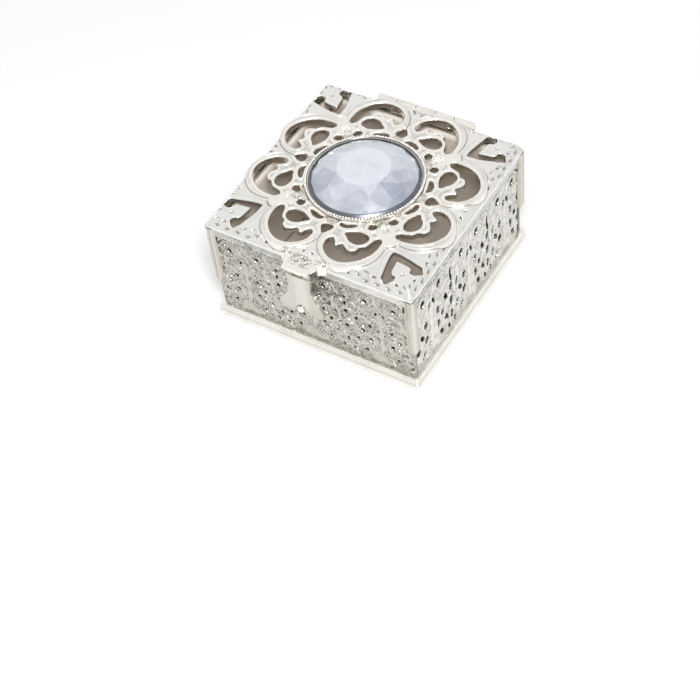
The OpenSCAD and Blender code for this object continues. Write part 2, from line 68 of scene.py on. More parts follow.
LID_LOW, LID_HIGH = node_mm("lid_plate")
RAIL_LOW, RAIL_HIGH = node_mm("front_rail")
PANEL_LOW, PANEL_HIGH = node_mm("front_panel")
BASE_HIGH = node_mm("base_plate")[1]
PLINTH_HIGH = node_mm("plinth_frame")[1]
CUP_LOW, CUP_HIGH = node_mm("bezel_cup")
STONE_LOW, STONE_HIGH = node_mm("crystal")
FOIL_LOW, FOIL_HIGH = node_mm("foil_disc")
HASP_LOW = node_mm("clasp_hasp")[0]
LUG_LOW, LUG_HIGH = node_mm("clasp_lug")
STUD_LOW, STUD_HIGH = node_mm("catch_stud")
POST_LOW, POST_HIGH = node_mm("front_right_post")
FLOOR_LOW, FLOOR_HIGH = node_mm("floor_lining")
WALL_LOW, WALL_HIGH = node_mm("front_lining")
STRIP_LOW, STRIP_HIGH = node_mm("case_hinge_strip")
HINGE_PIN_LOW, HINGE_PIN_HIGH = node_mm("hinge_pin")
CLASP_PIN_LOW, CLASP_PIN_HIGH = node_mm("clasp_pin")

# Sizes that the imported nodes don't give, in millimetres
PAD_RISE, FLOWER_RISE, SHEET_THICK = 0.3, 0.5, 1.0
LID_RIM = 1.0
WALL = 1.0
RAIL_CORNER = 2.6
PETAL_AT, PETAL_R = (7.0, 17.7), 6.95
WEB_AT, WEB_R = 13.6, 2.0
PAD_AT, PAD_HALF = 11.8, 1.7
COLLAR_R, CUP_HOLE_R, UNDER_HOLE_R = 15.3, 13.05, 11.75
HEART_DOT_AT = 20.6
POST_R, POST_FOOT_RATIO, POST_CAP_DROP = 1.4, 1.7, 0.03
BEAD_R, WIRE_R = 0.31, 0.24
STONE_EDGE = 0.6
LUG_HALF, LUG_ROOT, LUG_BARREL_HALF = 5.5, 1.5, 1.2
PRONG_INNER, PRONG_OUTER = 1.3, 2.9

# Places on the lid: its half side, its lowest edge, the flower's face, the border's face and the underside
LID_HALF, LID_Z = LID_HIGH[0], LID_LOW[2]
FACE_Z = LID_HIGH[2] - PAD_RISE
SHEET_Z = FACE_Z - FLOWER_RISE
UNDER_Z = SHEET_Z - SHEET_THICK

# Stage: metres and degrees, the sensor in millimetres, the focal length and the frame's width in pixels,
# tones as shares of white
CAMERA_TURNS = (36.162, 49.154, -7.335)
CAMERA_TARGET = (0.021519, -0.042702, 0.0295)
CAMERA_REACH = 0.295259
SENSOR_WIDTH = 36
FOCAL_PIXELS = 1539.512
FRAME_PIXELS = 700
LAMP_SIZE = 0.12
LAMP_AT = (0.2, -0.25, 0.42)
LAMP_TARGET = (0, 0, 0.02)
FLOOR_HALF = 3.0
FLOOR_TONE, HORIZON_TONE, SKY_TONE = 0.75, 0.86, 0.94


class KeepsakeBoxSettings(bpy.types.PropertyGroup):
    silver: bpy.props.FloatVectorProperty(
        name="Silver", description="Colour of the bright silver plate", subtype="COLOR", size=3,
        min=0, max=1, default=(0.915, 0.895, 0.845))
    # Dark end of the silver finishes: patina in the hollows, also used as painted shade
    tarnish_and_shade_colour: bpy.props.FloatVectorProperty(
        name="Tarnish", description="Colour of the plate in deep recesses", subtype="COLOR", size=3,
        min=0, max=1, default=(0.33, 0.3, 0.235))
    lining: bpy.props.FloatVectorProperty(
        name="Lining", description="Colour of the short-napped lining", subtype="COLOR", size=3,
        min=0, max=1, default=(0.8, 0.72, 0.64))
    stone: bpy.props.FloatVectorProperty(
        name="Stone", description="Tint of the faceted stone", subtype="COLOR", size=3,
        min=0, max=1, default=(0.66, 0.7, 0.765))
    casting_step: bpy.props.FloatProperty(
        name="Casting grid", description="Spacing of the points on the cast lid", default=0.0001,
        min=0.00005, max=0.001, subtype="DISTANCE", unit="LENGTH")
    panel_step: bpy.props.FloatProperty(
        name="Panel grid", description="Spacing of the points on the wall panels", default=0.000125,
        min=0.00005, max=0.001, subtype="DISTANCE", unit="LENGTH")
    band_round: bpy.props.FloatProperty(
        name="Band rounding", description="Radius of the rounded edges of the flower's bands",
        default=0.00042, min=0.0001, max=0.0008, subtype="DISTANCE", unit="LENGTH")
    bead_count: bpy.props.IntProperty(
        name="Beads", description="Number of beads round the setting", default=116, min=40, max=140)
    key_power: bpy.props.FloatProperty(
        name="Key light", description="Strength of the soft lamp beside the camera", default=2.0,
        min=0, max=20, subtype="POWER", unit="POWER")


# Curves and distances in millimetres

def curve_point(a, b, c, d, t):
    """Point between b and c of the smooth curve through a, b, c and d."""
    return 0.5 * (2 * b + (c - a) * t + (2 * a - 5 * b + 4 * c - d) * t ** 2
                  + (3 * b - a - 3 * c + d) * t ** 3)


def closed_spline(points, steps=4):
    """Closed smooth curve through the points."""
    p = np.array(points, float)
    n, out = len(p), []
    for i in range(n):
        a, b, c, d = p[i - 1], p[i], p[(i + 1) % n], p[(i + 2) % n]
        for t in np.linspace(0, 1, steps, endpoint=False):
            out.append(curve_point(a, b, c, d, t))
    return np.array(out)


def open_spline(points, steps=4):
    """Open smooth curve from the first point to the last."""
    p = np.array(points, float)
    n, out = len(p), []
    for i in range(n - 1):
        a, b, c, d = p[max(i - 1, 0)], p[i], p[i + 1], p[min(i + 2, n - 1)]
        for t in np.linspace(0, 1, steps, endpoint=False):
            out.append(curve_point(a, b, c, d, t))
    out.append(p[-1])
    return np.array(out)


def outside(x, y, outline, reach=2.5):
    """Distance from each point to a closed outline, negative inside it, and at most reach."""
    d = np.full(x.shape, reach)
    low, high = outline.min(0) - reach, outline.max(0) + reach
    near = (x > low[0]) & (x < high[0]) & (y > low[1]) & (y < high[1])
    px, py = x[near], y[near]
    best, inner = np.full(px.shape, reach * reach), np.zeros(px.shape, bool)
    for a, b in zip(outline, np.roll(outline, -1, 0)):
        ex, ey = b - a
        t = np.clip(((px - a[0]) * ex + (py - a[1]) * ey) / (ex * ex + ey * ey + 1e-12), 0, 1)
        best = np.minimum(best, (px - a[0] - t * ex) ** 2 + (py - a[1] - t * ey) ** 2)
        if abs(ey) > 1e-12:
            inner ^= ((a[1] > py) != (b[1] > py)) & (px < ex * (py - a[1]) / ey + a[0])
    d[near] = np.where(inner, -np.sqrt(best), np.sqrt(best))
    return d


def oval(x, y, cx, cy, w, h, tilt=0.0):
    """Rough distance to a tilted oval, negative inside it."""
    c, s = math.cos(math.radians(tilt)), math.sin(math.radians(tilt))
    u, v = (x - cx) * c + (y - cy) * s, -(x - cx) * s + (y - cy) * c
    return (np.hypot(u / (w / 2), v / (h / 2)) - 1) * min(w, h) / 2


def nearest_oval(x, y, ovals, reach):
    """Distance to the nearest of several ovals, at most reach."""
    return np.minimum.reduce([np.full(x.shape, reach)] + [oval(x, y, *shape) for shape in ovals])


def rounded_square(x, y, half, corner):
    """Distance to a centred square with rounded corners, negative inside it."""
    u, v = np.abs(x) - half + corner, np.abs(y) - half + corner
    return np.hypot(np.maximum(u, 0), np.maximum(v, 0)) + np.minimum(np.maximum(u, v), 0) - corner


def tapered(x, y, path, r0, r1):
    """Round swell along a path, 1 on its line and 0 past its edge; the radius goes from r0 to r1."""
    value = np.zeros(x.shape)
    low, high = path.min(0) - max(r0, r1), path.max(0) + max(r0, r1)
    near = (x > low[0]) & (x < high[0]) & (y > low[1]) & (y < high[1])
    px, py = x[near], y[near]
    best = np.full(px.shape, -1.0)
    radii = np.linspace(r0, r1, len(path))
    for a, b, ra, rb in zip(path[:-1], path[1:], radii[:-1], radii[1:]):
        ex, ey = b - a
        t = np.clip(((px - a[0]) * ex + (py - a[1]) * ey) / (ex * ex + ey * ey + 1e-12), 0, 1)
        d2 = (px - a[0] - t * ex) ** 2 + (py - a[1] - t * ey) ** 2
        best = np.maximum(best, 1 - d2 / (ra + (rb - ra) * t) ** 2)
    value[near] = np.sqrt(np.maximum(best, 0))
    return value


def rounding(distance, radius):
    """Drop of a rounded edge at a distance from it."""
    t = 1 - np.clip(distance / radius, 0, 1)
    return radius * (1 - np.sqrt(np.maximum(1 - t * t, 0)))


def soft_step(value, low, high):
    t = np.clip((value - low) / (high - low), 0, 1)
    return t * t * (3 - 2 * t)


def waves(x, y, size, seed):
    """Smooth unevenness of a casting, about -1 to 1, the same on every run."""
    rng = np.random.default_rng(seed)
    total = np.zeros(x.shape)
    for _ in range(9):
        a, f, p = rng.uniform(0, math.tau), rng.uniform(0.6, 1.5) / size, rng.uniform(0, math.tau)
        total += np.sin((x * math.cos(a) + y * math.sin(a)) * f * math.tau + p)
    return total / 4


def grain(x, y, size, seed):
    """Fine uneven grain, 0 to 1, from hashed cells blended smoothly."""
    gx, gy = x / size, y / size
    ix, iy = np.floor(gx).astype(np.int64), np.floor(gy).astype(np.int64)
    fx, fy = gx - ix, gy - iy
    fx, fy = fx * fx * (3 - 2 * fx), fy * fy * (3 - 2 * fy)

    def cell(i, j):
        h = (i * 374761393 + j * 668265263 + seed * 974634777) & 0xFFFFFFFF
        h = ((h ^ (h >> 13)) * 1274126177) & 0xFFFFFFFF
        return (h ^ (h >> 16)) / 0xFFFFFFFF
    return ((cell(ix, iy) * (1 - fx) + cell(ix + 1, iy) * fx) * (1 - fy)
            + (cell(ix, iy + 1) * (1 - fx) + cell(ix + 1, iy + 1) * fx) * fy)


# Meshes

def add_piece(name, points, faces, finish, body, stands_for=(), tarnish_and_shade=None, crease=40, flat=False):
    """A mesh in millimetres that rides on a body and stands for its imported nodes."""
    mesh = bpy.data.meshes.new(name)
    mesh.from_pydata((np.asarray(points, float) * MM).tolist(), [], [list(map(int, f)) for f in faces])
    mesh.validate()
    piece = bpy.data.objects.new(name, mesh)
    bpy.context.scene.collection.objects.link(piece)
    # Each point's share of patina and painted shade, which the finishes turn darker
    if tarnish_and_shade is not None:
        layer = mesh.attributes.new("tarnish_and_shade", "FLOAT", "POINT")
        layer.data.foreach_set("value", np.asarray(tarnish_and_shade, np.float32))
    if not flat:
        mesh.polygons.foreach_set("use_smooth", np.ones(len(mesh.polygons), bool))
        mesh.set_sharp_from_angle(angle=math.radians(crease))
    mesh.materials.append(finish)
    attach(piece, body)
    if stands_for:
        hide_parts(*stands_for)
    return piece


class Shell:
    """Collects points and faces of one piece, in millimetres."""

    def __init__(self):
        self.points, self.faces, self.tarnish_and_shade = [], [], []

    def add(self, points, faces, tarnish_and_shade=0.0):
        start = len(self.points)
        points = np.asarray(points, float)
        self.points.extend(points.tolist())
        self.faces.extend([[start + int(i) for i in f] for f in faces])
        self.tarnish_and_shade.extend(np.broadcast_to(np.asarray(tarnish_and_shade, float), len(points)).tolist())
        return self

    def grid(self, rows, closed=False, tarnish_and_shade=0.0, flip=False):
        """Rows of points joined to their neighbours; closed joins each row's end to its start."""
        rows = np.asarray(rows, float)
        m, n = rows.shape[:2]
        faces = []
        for i in range(m - 1):
            for j in range(n if closed else n - 1):
                k = (j + 1) % n
                f = [i * n + j, i * n + k, (i + 1) * n + k, (i + 1) * n + j]
                faces.append(f[::-1] if flip else f)
        return self.add(rows.reshape(-1, 3), faces, tarnish_and_shade)

    def piece(self, name, finish, body, slot, stands_for=(), crease=40, flat=False):
        return add_piece(name, self.points, self.faces, finish, body, stands_for, self.tarnish_and_shade, crease,
                         flat)


def casting(us, vs, metal, surface, floor, closed=False, wall_foot_shade=0.45):
    """Relief on a grid: kept where metal(u, v) > 0, with its edges moved onto that outline and carried down
    to floor(u, v). surface(u, v) gives the height and each point's share of patina and painted shade; on a
    piece open underneath, the feet of the edge walls take wall_foot_shade, painted shade on the walls of the
    openings."""
    u, v = np.meshgrid(us, vs, indexing="ij")
    step = us[1] - us[0]
    m = metal(u, v)
    gu, gv = np.gradient(m, us, vs)
    corners = [m[:-1, :-1], m[1:, :-1], m[1:, 1:], m[:-1, 1:]]
    keep = (np.minimum.reduce(corners) > -0.8 * step) & (sum(corners) > 0)
    count = np.zeros(m.shape, int)
    for i, j in ((0, 0), (1, 0), (1, 1), (0, 1)):
        count[i:i + keep.shape[0], j:j + keep.shape[1]] += keep
    used = count > 0
    snap = used & (((count < 4) & (np.abs(m) < 1.3 * step)) | (m < 0))
    slope = gu ** 2 + gv ** 2 + 1e-6
    u = np.where(snap, u - np.clip(m * gu / slope, -step, step), u)
    v = np.where(snap, v - np.clip(m * gv / slope, -step, step), v)
    index = np.full(m.shape, -1)
    index[used] = np.arange(used.sum())
    pu, pv = u[used], v[used]
    height, tarnish_and_shade = surface(pu, pv)
    base = floor(pu, pv)
    ci, cj = np.nonzero(keep)
    quad = np.stack([index[ci, cj], index[ci + 1, cj], index[ci + 1, cj + 1], index[ci, cj + 1]], 1)
    ring = np.pad(keep, 1)
    sides = [(0, 1, ring[ci + 1, cj]), (1, 2, ring[ci + 2, cj + 1]), (2, 3, ring[ci + 1, cj + 2]),
             (3, 0, ring[ci, cj + 1])]
    edges = np.concatenate([quad[~there][:, [a, b]] for a, b, there in sides])
    n = len(pu)
    if closed:
        lower = np.arange(n) + n
        points = np.concatenate([np.stack([pu, pv, height], 1), np.stack([pu, pv, base], 1)])
        faces = np.concatenate([quad, lower[quad][:, ::-1]])
        tarnish_and_shade = np.concatenate([tarnish_and_shade, tarnish_and_shade])
    else:
        rim = np.unique(edges)
        lower = np.full(n, -1)
        lower[rim] = n + np.arange(len(rim))
        points = np.concatenate([np.stack([pu, pv, height], 1), np.stack([pu[rim], pv[rim], base[rim]], 1)])
        faces = quad
        tarnish_and_shade = np.concatenate([tarnish_and_shade, np.full(len(rim), wall_foot_shade)])
    skirt = np.stack([edges[:, 1], edges[:, 0], lower[edges[:, 0]], lower[edges[:, 1]]], 1)
    return points, np.concatenate([faces, skirt]), tarnish_and_shade


def steps_between(low, high, step):
    return np.linspace(low, high, max(2, round((high - low) / step) + 1))


def lathe(profile, sides=64, axis="Z", at=(0, 0, 0)):
    """Rows of points round an axis from a profile of (radius, height)."""
    a = np.linspace(0, math.tau, sides, endpoint=False)
    rows = []
    for r, h in profile:
        ring = np.stack([r * np.cos(a), r * np.sin(a), np.full(sides, h)], 1)
        if axis == "X":
            ring = np.stack([ring[:, 2], ring[:, 0], ring[:, 1]], 1)
        if axis == "-Y":
            ring = np.stack([ring[:, 0], -ring[:, 2], ring[:, 1]], 1)
        rows.append(ring + np.array(at))
    return np.array(rows)


def square_rows(profile, corner, along=20, bend=5):
    """Rows of points round a square from a profile of (half side, height)."""
    rows = []
    for half, z in profile:
        inner, row = half - corner, []
        for k in range(4):
            a = math.radians(-90 + 90 * k)
            side = np.array([math.cos(a + math.pi / 2), math.sin(a + math.pi / 2)])
            out = np.array([math.cos(a), math.sin(a)])
            for t in np.linspace(-inner, inner, along):
                row.append([*(out * half + side * t), z])
            for b in np.linspace(0, math.pi / 2, bend + 2)[1:-1]:
                bent = corner * (out * math.cos(b) + side * math.sin(b))
                row.append([*(out * inner + side * inner + bent), z])
        rows.append(row)
    return np.array(rows)


def square_points(half, z):
    return [(-half, -half, z), (half, -half, z), (half, half, z), (-half, half, z)]


def turned(points, quarter):
    """Points turned about the vertical by quarters of a turn."""
    c, s = [(1, 0), (0, 1), (-1, 0), (0, -1)][quarter % 4]
    p = np.asarray(points, float)
    return np.stack([p[:, 0] * c - p[:, 1] * s, p[:, 0] * s + p[:, 1] * c, p[:, 2]], 1)


def upright(points):
    """Turns a relief drawn as (along, height, outwards) into the front wall's place."""
    return np.stack([points[:, 0], -points[:, 2], points[:, 1]], 1)


def soft_block(low, high, radius, segments=2):
    """Box with rounded edges, in millimetres."""
    bm = bmesh.new()
    bmesh.ops.create_cube(bm, size=1)
    low, high = np.array(low, float), np.array(high, float)
    for v in bm.verts:
        v.co = Vector(((low + high) / 2 + np.array(v.co) * (high - low)).tolist())
    bmesh.ops.bevel(bm, geom=bm.edges[:], offset=radius, segments=segments, profile=0.6, affect="EDGES")
    bm.verts.index_update()
    points = [list(v.co) for v in bm.verts]
    faces = [[v.index for v in f.verts] for f in bm.faces]
    bm.free()
    return points, faces


# Finishes

def new_finish(name):
    finish = bpy.data.materials.new("finish_" + name)
    finish.use_nodes = True
    tree = finish.node_tree
    tree.nodes.clear()
    out = tree.nodes.new("ShaderNodeOutputMaterial")
    surface = tree.nodes.new("ShaderNodeBsdfPrincipled")
    tree.links.new(surface.outputs[0], out.inputs[0])
    return finish, tree, surface


def noise_node(tree, scale, detail=4.0, roughness=0.55):
    node = tree.nodes.new("ShaderNodeTexNoise")
    place = tree.nodes.get("Place") or tree.nodes.new("ShaderNodeTexCoord")
    place.name = "Place"
    tree.links.new(place.outputs["Object"], node.inputs["Vector"])
    node.inputs["Scale"].default_value = scale
    node.inputs["Detail"].default_value = detail
    node.inputs["Roughness"].default_value = roughness
    return node


def ramp_node(tree, source, low, high, a, b):
    node = tree.nodes.new("ShaderNodeMapRange")
    tree.links.new(source, node.inputs["Value"])
    node.inputs["From Min"].default_value = low
    node.inputs["From Max"].default_value = high
    node.inputs["To Min"].default_value = a
    node.inputs["To Max"].default_value = b
    return node.outputs["Result"]


def mix_node(tree, factor, a, b):
    node = tree.nodes.new("ShaderNodeMix")
    node.data_type = "RGBA"
    tree.links.new(factor, node.inputs["Factor"])
    for value, socket in ((a, node.inputs[6]), (b, node.inputs[7])):
        if isinstance(value, bpy.types.NodeSocket):
            tree.links.new(value, socket)
        else:
            socket.default_value = (*value, 1)
    return node.outputs[2]


def bump_node(tree, height, strength, distance, under=None):
    node = tree.nodes.new("ShaderNodeBump")
    node.inputs["Strength"].default_value = strength
    node.inputs["Distance"].default_value = distance
    tree.links.new(height, node.inputs["Height"])
    if under is not None:
        tree.links.new(under, node.inputs["Normal"])
    return node.outputs["Normal"]


def tarnish_and_shade_node(tree):
    """Each point's share of patina and painted shade, as stored on the mesh."""
    node = tree.nodes.new("ShaderNodeAttribute")
    node.attribute_name = "tarnish_and_shade"
    return node.outputs["Fac"]


def sum_node(tree, a, b):
    """Sum of two values, kept from 0 to 1."""
    node = tree.nodes.new("ShaderNodeMath")
    node.operation = "ADD"
    node.use_clamp = True
    tree.links.new(a, node.inputs[0])
    tree.links.new(b, node.inputs[1])
    return node.outputs[0]


def silver_finish(name, silver, tarnish_and_shade_colour, rough, pitting, darkening=1.0):
    """Cast and plated silver: bright on high places, dull and warm grey where the mesh's share is high, which
    paints patina in the hollows together with shade.
    """
    finish, tree, surface = new_finish(name)
    cloud = noise_node(tree, 260, 5)
    mottle_and_shade = sum_node(tree, ramp_node(tree, cloud.outputs["Fac"], 0.35, 0.7, -0.12, 0.12),
                       ramp_node(tree, tarnish_and_shade_node(tree), 0.05, 1.0, 0.0, darkening))
    tree.links.new(mix_node(tree, mottle_and_shade, silver, tarnish_and_shade_colour), surface.inputs["Base Color"])
    surface.inputs["Metallic"].default_value = 1.0
    tree.links.new(ramp_node(tree, cloud.outputs["Fac"], 0.3, 0.75, rough * 0.75, rough * 1.35),
                   surface.inputs["Roughness"])
    fine, broad = noise_node(tree, 5200, 3), noise_node(tree, 900, 2)
    normal = bump_node(tree, broad.outputs["Fac"], pitting, 0.00012)
    normal = bump_node(tree, fine.outputs["Fac"], pitting * 0.7, 0.00003, normal)
    tree.links.new(normal, surface.inputs["Normal"])
    return finish


def lining_finish(name, colour):
    """Short-napped fabric with a fine weave and soft sheen."""
    finish, tree, surface = new_finish(name)
    cloud, nap = noise_node(tree, 180, 4), noise_node(tree, 7000, 2)
    darker = tuple(c * 0.88 for c in colour)
    tree.links.new(mix_node(tree, ramp_node(tree, cloud.outputs["Fac"], 0.3, 0.7, 0, 1), darker, colour),
                   surface.inputs["Base Color"])
    surface.inputs["Roughness"].default_value = 0.95
    surface.inputs["Sheen Weight"].default_value = 0.5
    surface.inputs["Sheen Roughness"].default_value = 0.4
    surface.inputs["Sheen Tint"].default_value = (0.95, 0.87, 0.8, 1)
    tree.links.new(bump_node(tree, nap.outputs["Fac"], 0.6, 0.00008), surface.inputs["Normal"])
    return finish


def stone_finish(colour):
    """Foil-backed faceted stone: pale blue, each facet with its own share of painted shade, standing in for its
    reflections.
    """
    finish, tree, surface = new_finish("pale_blue_stone")
    cloud = noise_node(tree, 330, 4, 0.65)
    tone = sum_node(tree, ramp_node(tree, cloud.outputs["Fac"], 0.35, 0.65, -0.13, 0.13), tarnish_and_shade_node(tree))
    # Darker colour for the painted shade on the facets
    deep = tuple(c * k for c, k in zip(colour, (0.35, 0.36, 0.42)))
    tree.links.new(mix_node(tree, tone, colour, deep), surface.inputs["Base Color"])
    surface.inputs["Metallic"].default_value = 0.25
    surface.inputs["Roughness"].default_value = 0.12
    surface.inputs["IOR"].default_value = 1.54
    surface.inputs["Transmission Weight"].default_value = 0.2
    surface.inputs["Coat Weight"].default_value = 0.8
    surface.inputs["Coat Roughness"].default_value = 0.03
    tree.links.new(bump_node(tree, noise_node(tree, 420, 2).outputs["Fac"], 0.08, 0.0002),
                   surface.inputs["Normal"])
    return finish


def foil_finish():
    """Mirror foil with the faint crumple of a pressed backing, its facets painted lighter and darker as
    reflections.
    """
    finish, tree, surface = new_finish("mirror_foil")
    cloud = noise_node(tree, 320, 3)
    mottle_and_shade = sum_node(tree, ramp_node(tree, cloud.outputs["Fac"], 0.3, 0.7, -0.12, 0.12), tarnish_and_shade_node(tree))
    tree.links.new(mix_node(tree, mottle_and_shade, (0.9, 0.93, 0.98), (0.12, 0.13, 0.2)),
                   surface.inputs["Base Color"])
    surface.inputs["Metallic"].default_value = 1.0
    surface.inputs["Roughness"].default_value = 0.18
    tree.links.new(bump_node(tree, cloud.outputs["Fac"], 0.35, 0.0003), surface.inputs["Normal"])
    return finish


def finish_named(name):
    """The finish of that name, made once from the current settings."""
    found = bpy.data.materials.get("finish_" + name)
    if found:
        return found
    s = bpy.context.scene.keepsake_box
    silver, tarnish_and_shade_colour = tuple(s.silver), tuple(s.tarnish_and_shade_colour)
    if name == "bright_silver":
        return silver_finish(name, silver, tarnish_and_shade_colour, 0.2, 0.1)
    # A dimmer copy of the silver for the sloping border: painted shade
    if name == "shaded_border_silver":
        return silver_finish(name, (0.85, 0.842, 0.818), tarnish_and_shade_colour, 0.24, 0.1)
    # A dimmer copy of the silver for the posts, hasp, hinge pin and the lid's underside: painted shade
    if name == "shaded_satin_silver":
        return silver_finish(name, (0.7, 0.685, 0.63), tarnish_and_shade_colour, 0.28, 0.06)
    # Front and back panels: a darker copy of the silver, painted shade, and near black for hollows and
    # piercings, patina with painted shadow
    if name == "filigree_silver":
        return silver_finish(name, (0.6, 0.58, 0.525), (0.09, 0.083, 0.07), 0.24, 0.12, 0.85)
    # Side panels and rails: a lighter copy of the panel silver, painted light, and black in the piercings and
    # hollows, painted shadow
    if name == "side_filigree":
        return silver_finish(name, (0.76, 0.748, 0.7), (0.02, 0.019, 0.017), 0.26, 0.1, 1.0)
    # A dark band round the stone's edge: painted shade
    if name == "shaded_stone_rim":
        return silver_finish(name, (0.17, 0.175, 0.2), (0.08, 0.08, 0.1), 0.3, 0.03)
    if name == "taupe_lining":
        return lining_finish(name, tuple(s.lining))
    if name == "pale_blue_stone":
        return stone_finish(tuple(s.stone))
    if name == "mirror_foil":
        return foil_finish()
    raise ValueError(f"no finish is named {name}")


# The lid's pattern, drawn for one eighth of the lid and folded onto it

CRESCENT = closed_spline(np.array([
    [-4.35, 0.15], [-5.2, 1], [-5, 2.6], [-4.2, 3.9], [-2.8, 5], [-1.1, 5.6], [0.8, 5.5], [2.7, 4.5],
    [4.2, 3], [5.2, 1.2], [5.65, -0.8], [5.6, -2.7], [4.8, -3.5], [3.95, -2.8], [3.6, -1.6], [3.2, -0.5],
    [2.1, 0.4], [1.9, 1.4], [0.8, 2.15], [-0.4, 1.8], [-1.6, 1.05], [-2.7, 2], [-3.45, 0.9]]) + PETAL_AT)
TEARDROP = closed_spline(np.array([
    [-2.6, -2.1], [-1.5, -2.9], [-0.1, -3.5], [1.4, -3.5], [2.5, -2.9], [2.75, -1.9], [2.2, -0.8],
    [1, -0.1], [-0.5, -0.3], [-1.7, -1.2]]) + PETAL_AT)
SPADE = closed_spline([
    [-1.3, 15.8], [-0.8, 14.95], [0.8, 14.95], [1.3, 15.8], [0.8, 16.7], [0, 17.6], [-0.8, 16.7]])
NEAR_LENS = closed_spline([[1.9, 13.55], [3.1, 13.4], [5.4, 12.65], [5.3, 13.4], [4, 14.3], [2.6, 14.4]])
FAR_LENS = closed_spline([[7.9, 11.6], [8.6, 11], [9.4, 11.1], [9.6, 12], [9, 12.7], [8.1, 12.6]])
HEART_ARM = open_spline([
    [0, 0], [2, 0.05], [4.2, 0.45], [5.9, 0.9], [7.4, 1.3], [8.15, 2.4], [7.7, 3.4], [6.8, 3.9], [5.8, 3.6],
    [5.6, 2.8], [4.9, 2.35], [3.7, 2.15], [2.6, 2.0], [1.95, 1.95]])
HEART = np.concatenate([HEART_ARM, HEART_ARM[-2:0:-1, ::-1]]) + [15.8, 15.8]
# Ovals: place, width, height and tilt
BORDER_SLOTS = [(u, 23.45, 0.95, 0.3, 12) for u in (15.5, 18.1, 20.7)] + [(1.0, 23.35, 0.35, 0.9, -30)]
BORDER_PITS = [(u, v, 0.6, 0.16, tilt) for u, v, tilt in (
    (9.9, 24.2, 6), (12.2, 23.9, 10), (14.2, 24.4, 4), (16.8, 24.35, 0), (19.4, 24.4, 8), (22.0, 24.3, 4),
    (23.1, 22.6, 40), (13.6, 23.0, 14), (22.6, 23.4, 30))]


def folded(x, y):
    u, v = np.abs(x), np.abs(y)
    return np.minimum(u, v), np.maximum(u, v)


def lid_openings(u, v):
    """Distance from the nearest opening, positive in the metal."""
    d = np.full(u.shape, 2.5)
    for outline in (CRESCENT, TEARDROP, SPADE, NEAR_LENS, FAR_LENS):
        d = np.minimum(d, outside(u, v, outline))
    return np.minimum(d, outside(u, v, HEART) + 0.08)


def petal_depth(u, v):
    return PETAL_R - np.hypot(u - PETAL_AT[0], v - PETAL_AT[1])


def flower(u, v):
    """Distance inside the flower's outline: petals, webs, pads and the collar."""
    web = WEB_R - np.hypot(u - WEB_AT, v - WEB_AT)
    collar = COLLAR_R - np.hypot(u, v)
    return np.maximum.reduce([petal_depth(u, v), web, collar])


def pad(u, v):
    return PAD_HALF - np.maximum(np.abs(u - PAD_AT), np.abs(v - PAD_AT))


def slots(u, v):
    return nearest_oval(u, v, BORDER_SLOTS, 2.5)


def flower_metal(x, y):
    u, v = folded(x, y)
    return np.minimum(np.minimum(lid_openings(u, v), flower(u, v)), np.hypot(x, y) - CUP_HOLE_R)


def flower_surface(x, y):
    u, v = folded(x, y)
    round_r = bpy.context.scene.keepsake_box.band_round / MM
    gap, inside_flower = lid_openings(u, v), flower(u, v)
    petal = petal_depth(u, v)
    r = np.hypot(x, y)
    z = np.full(x.shape, FACE_Z)
    collar = soft_step(r, 15.6, 14.9) * soft_step(petal, 0.35, -0.1)
    z -= 0.22 * collar
    arches = 0.15 * np.cos(np.arctan2(y, x) * 16) * soft_step(r, 15.4, 14.4)
    z += np.where(petal < 0.4, arches * collar, 0)
    ground = soft_step(gap, 0.7, 1.05) * soft_step(petal, 0.0, 1.2) * (1 - collar)
    z -= 0.2 * ground * (0.7 + 0.6 * grain(x, y, 0.45, 9))
    z -= 0.05 * soft_step(petal, 0.9, 0.55) * soft_step(petal, -0.3, 0.25) * soft_step(v, 13.5, 15.5)
    raised = soft_step(pad(u, v), -0.1, 0.25)
    z = z * (1 - raised) + (FACE_Z + 0.22 - 0.03 * np.hypot(u - PAD_AT, v - PAD_AT) ** 2) * raised
    drop = np.maximum(rounding(gap, round_r), rounding(inside_flower, 0.38))
    z -= np.where(raised > 0.5, np.minimum(drop, 0.1), drop)
    z += 0.035 * waves(x, y, 6, 3) + 0.012 * waves(x, y, 1.4, 5)
    # Darker in the sunk collar and ground (patina with painted shade), painted shade where the bands roll down
    # into the openings, and a painted shadow line outside the petal band; the pads stay bright
    deep = collar * (0.22 + 0.5 * grain(x, y, 0.4, 2)) + 0.22 * soft_step(drop, 0.12, 0.42)
    deep += ground * (0.15 + 0.35 * grain(x, y, 0.45, 9))
    deep += 0.1 * soft_step(petal, 0.75, 0.5) * soft_step(petal, 0.05, 0.4) * soft_step(v, 13.5, 15.5)
    z = np.minimum(z, FACE_Z + PAD_RISE)
    return z, np.clip(deep * (1 - raised) + 0.06, 0, 1)


def border_metal(x, y):
    u, v = folded(x, y)
    edge = -rounded_square(x, y, LID_HALF, 0.5)
    return np.minimum.reduce([lid_openings(u, v), edge, 0.12 - flower(u, v), slots(u, v)])


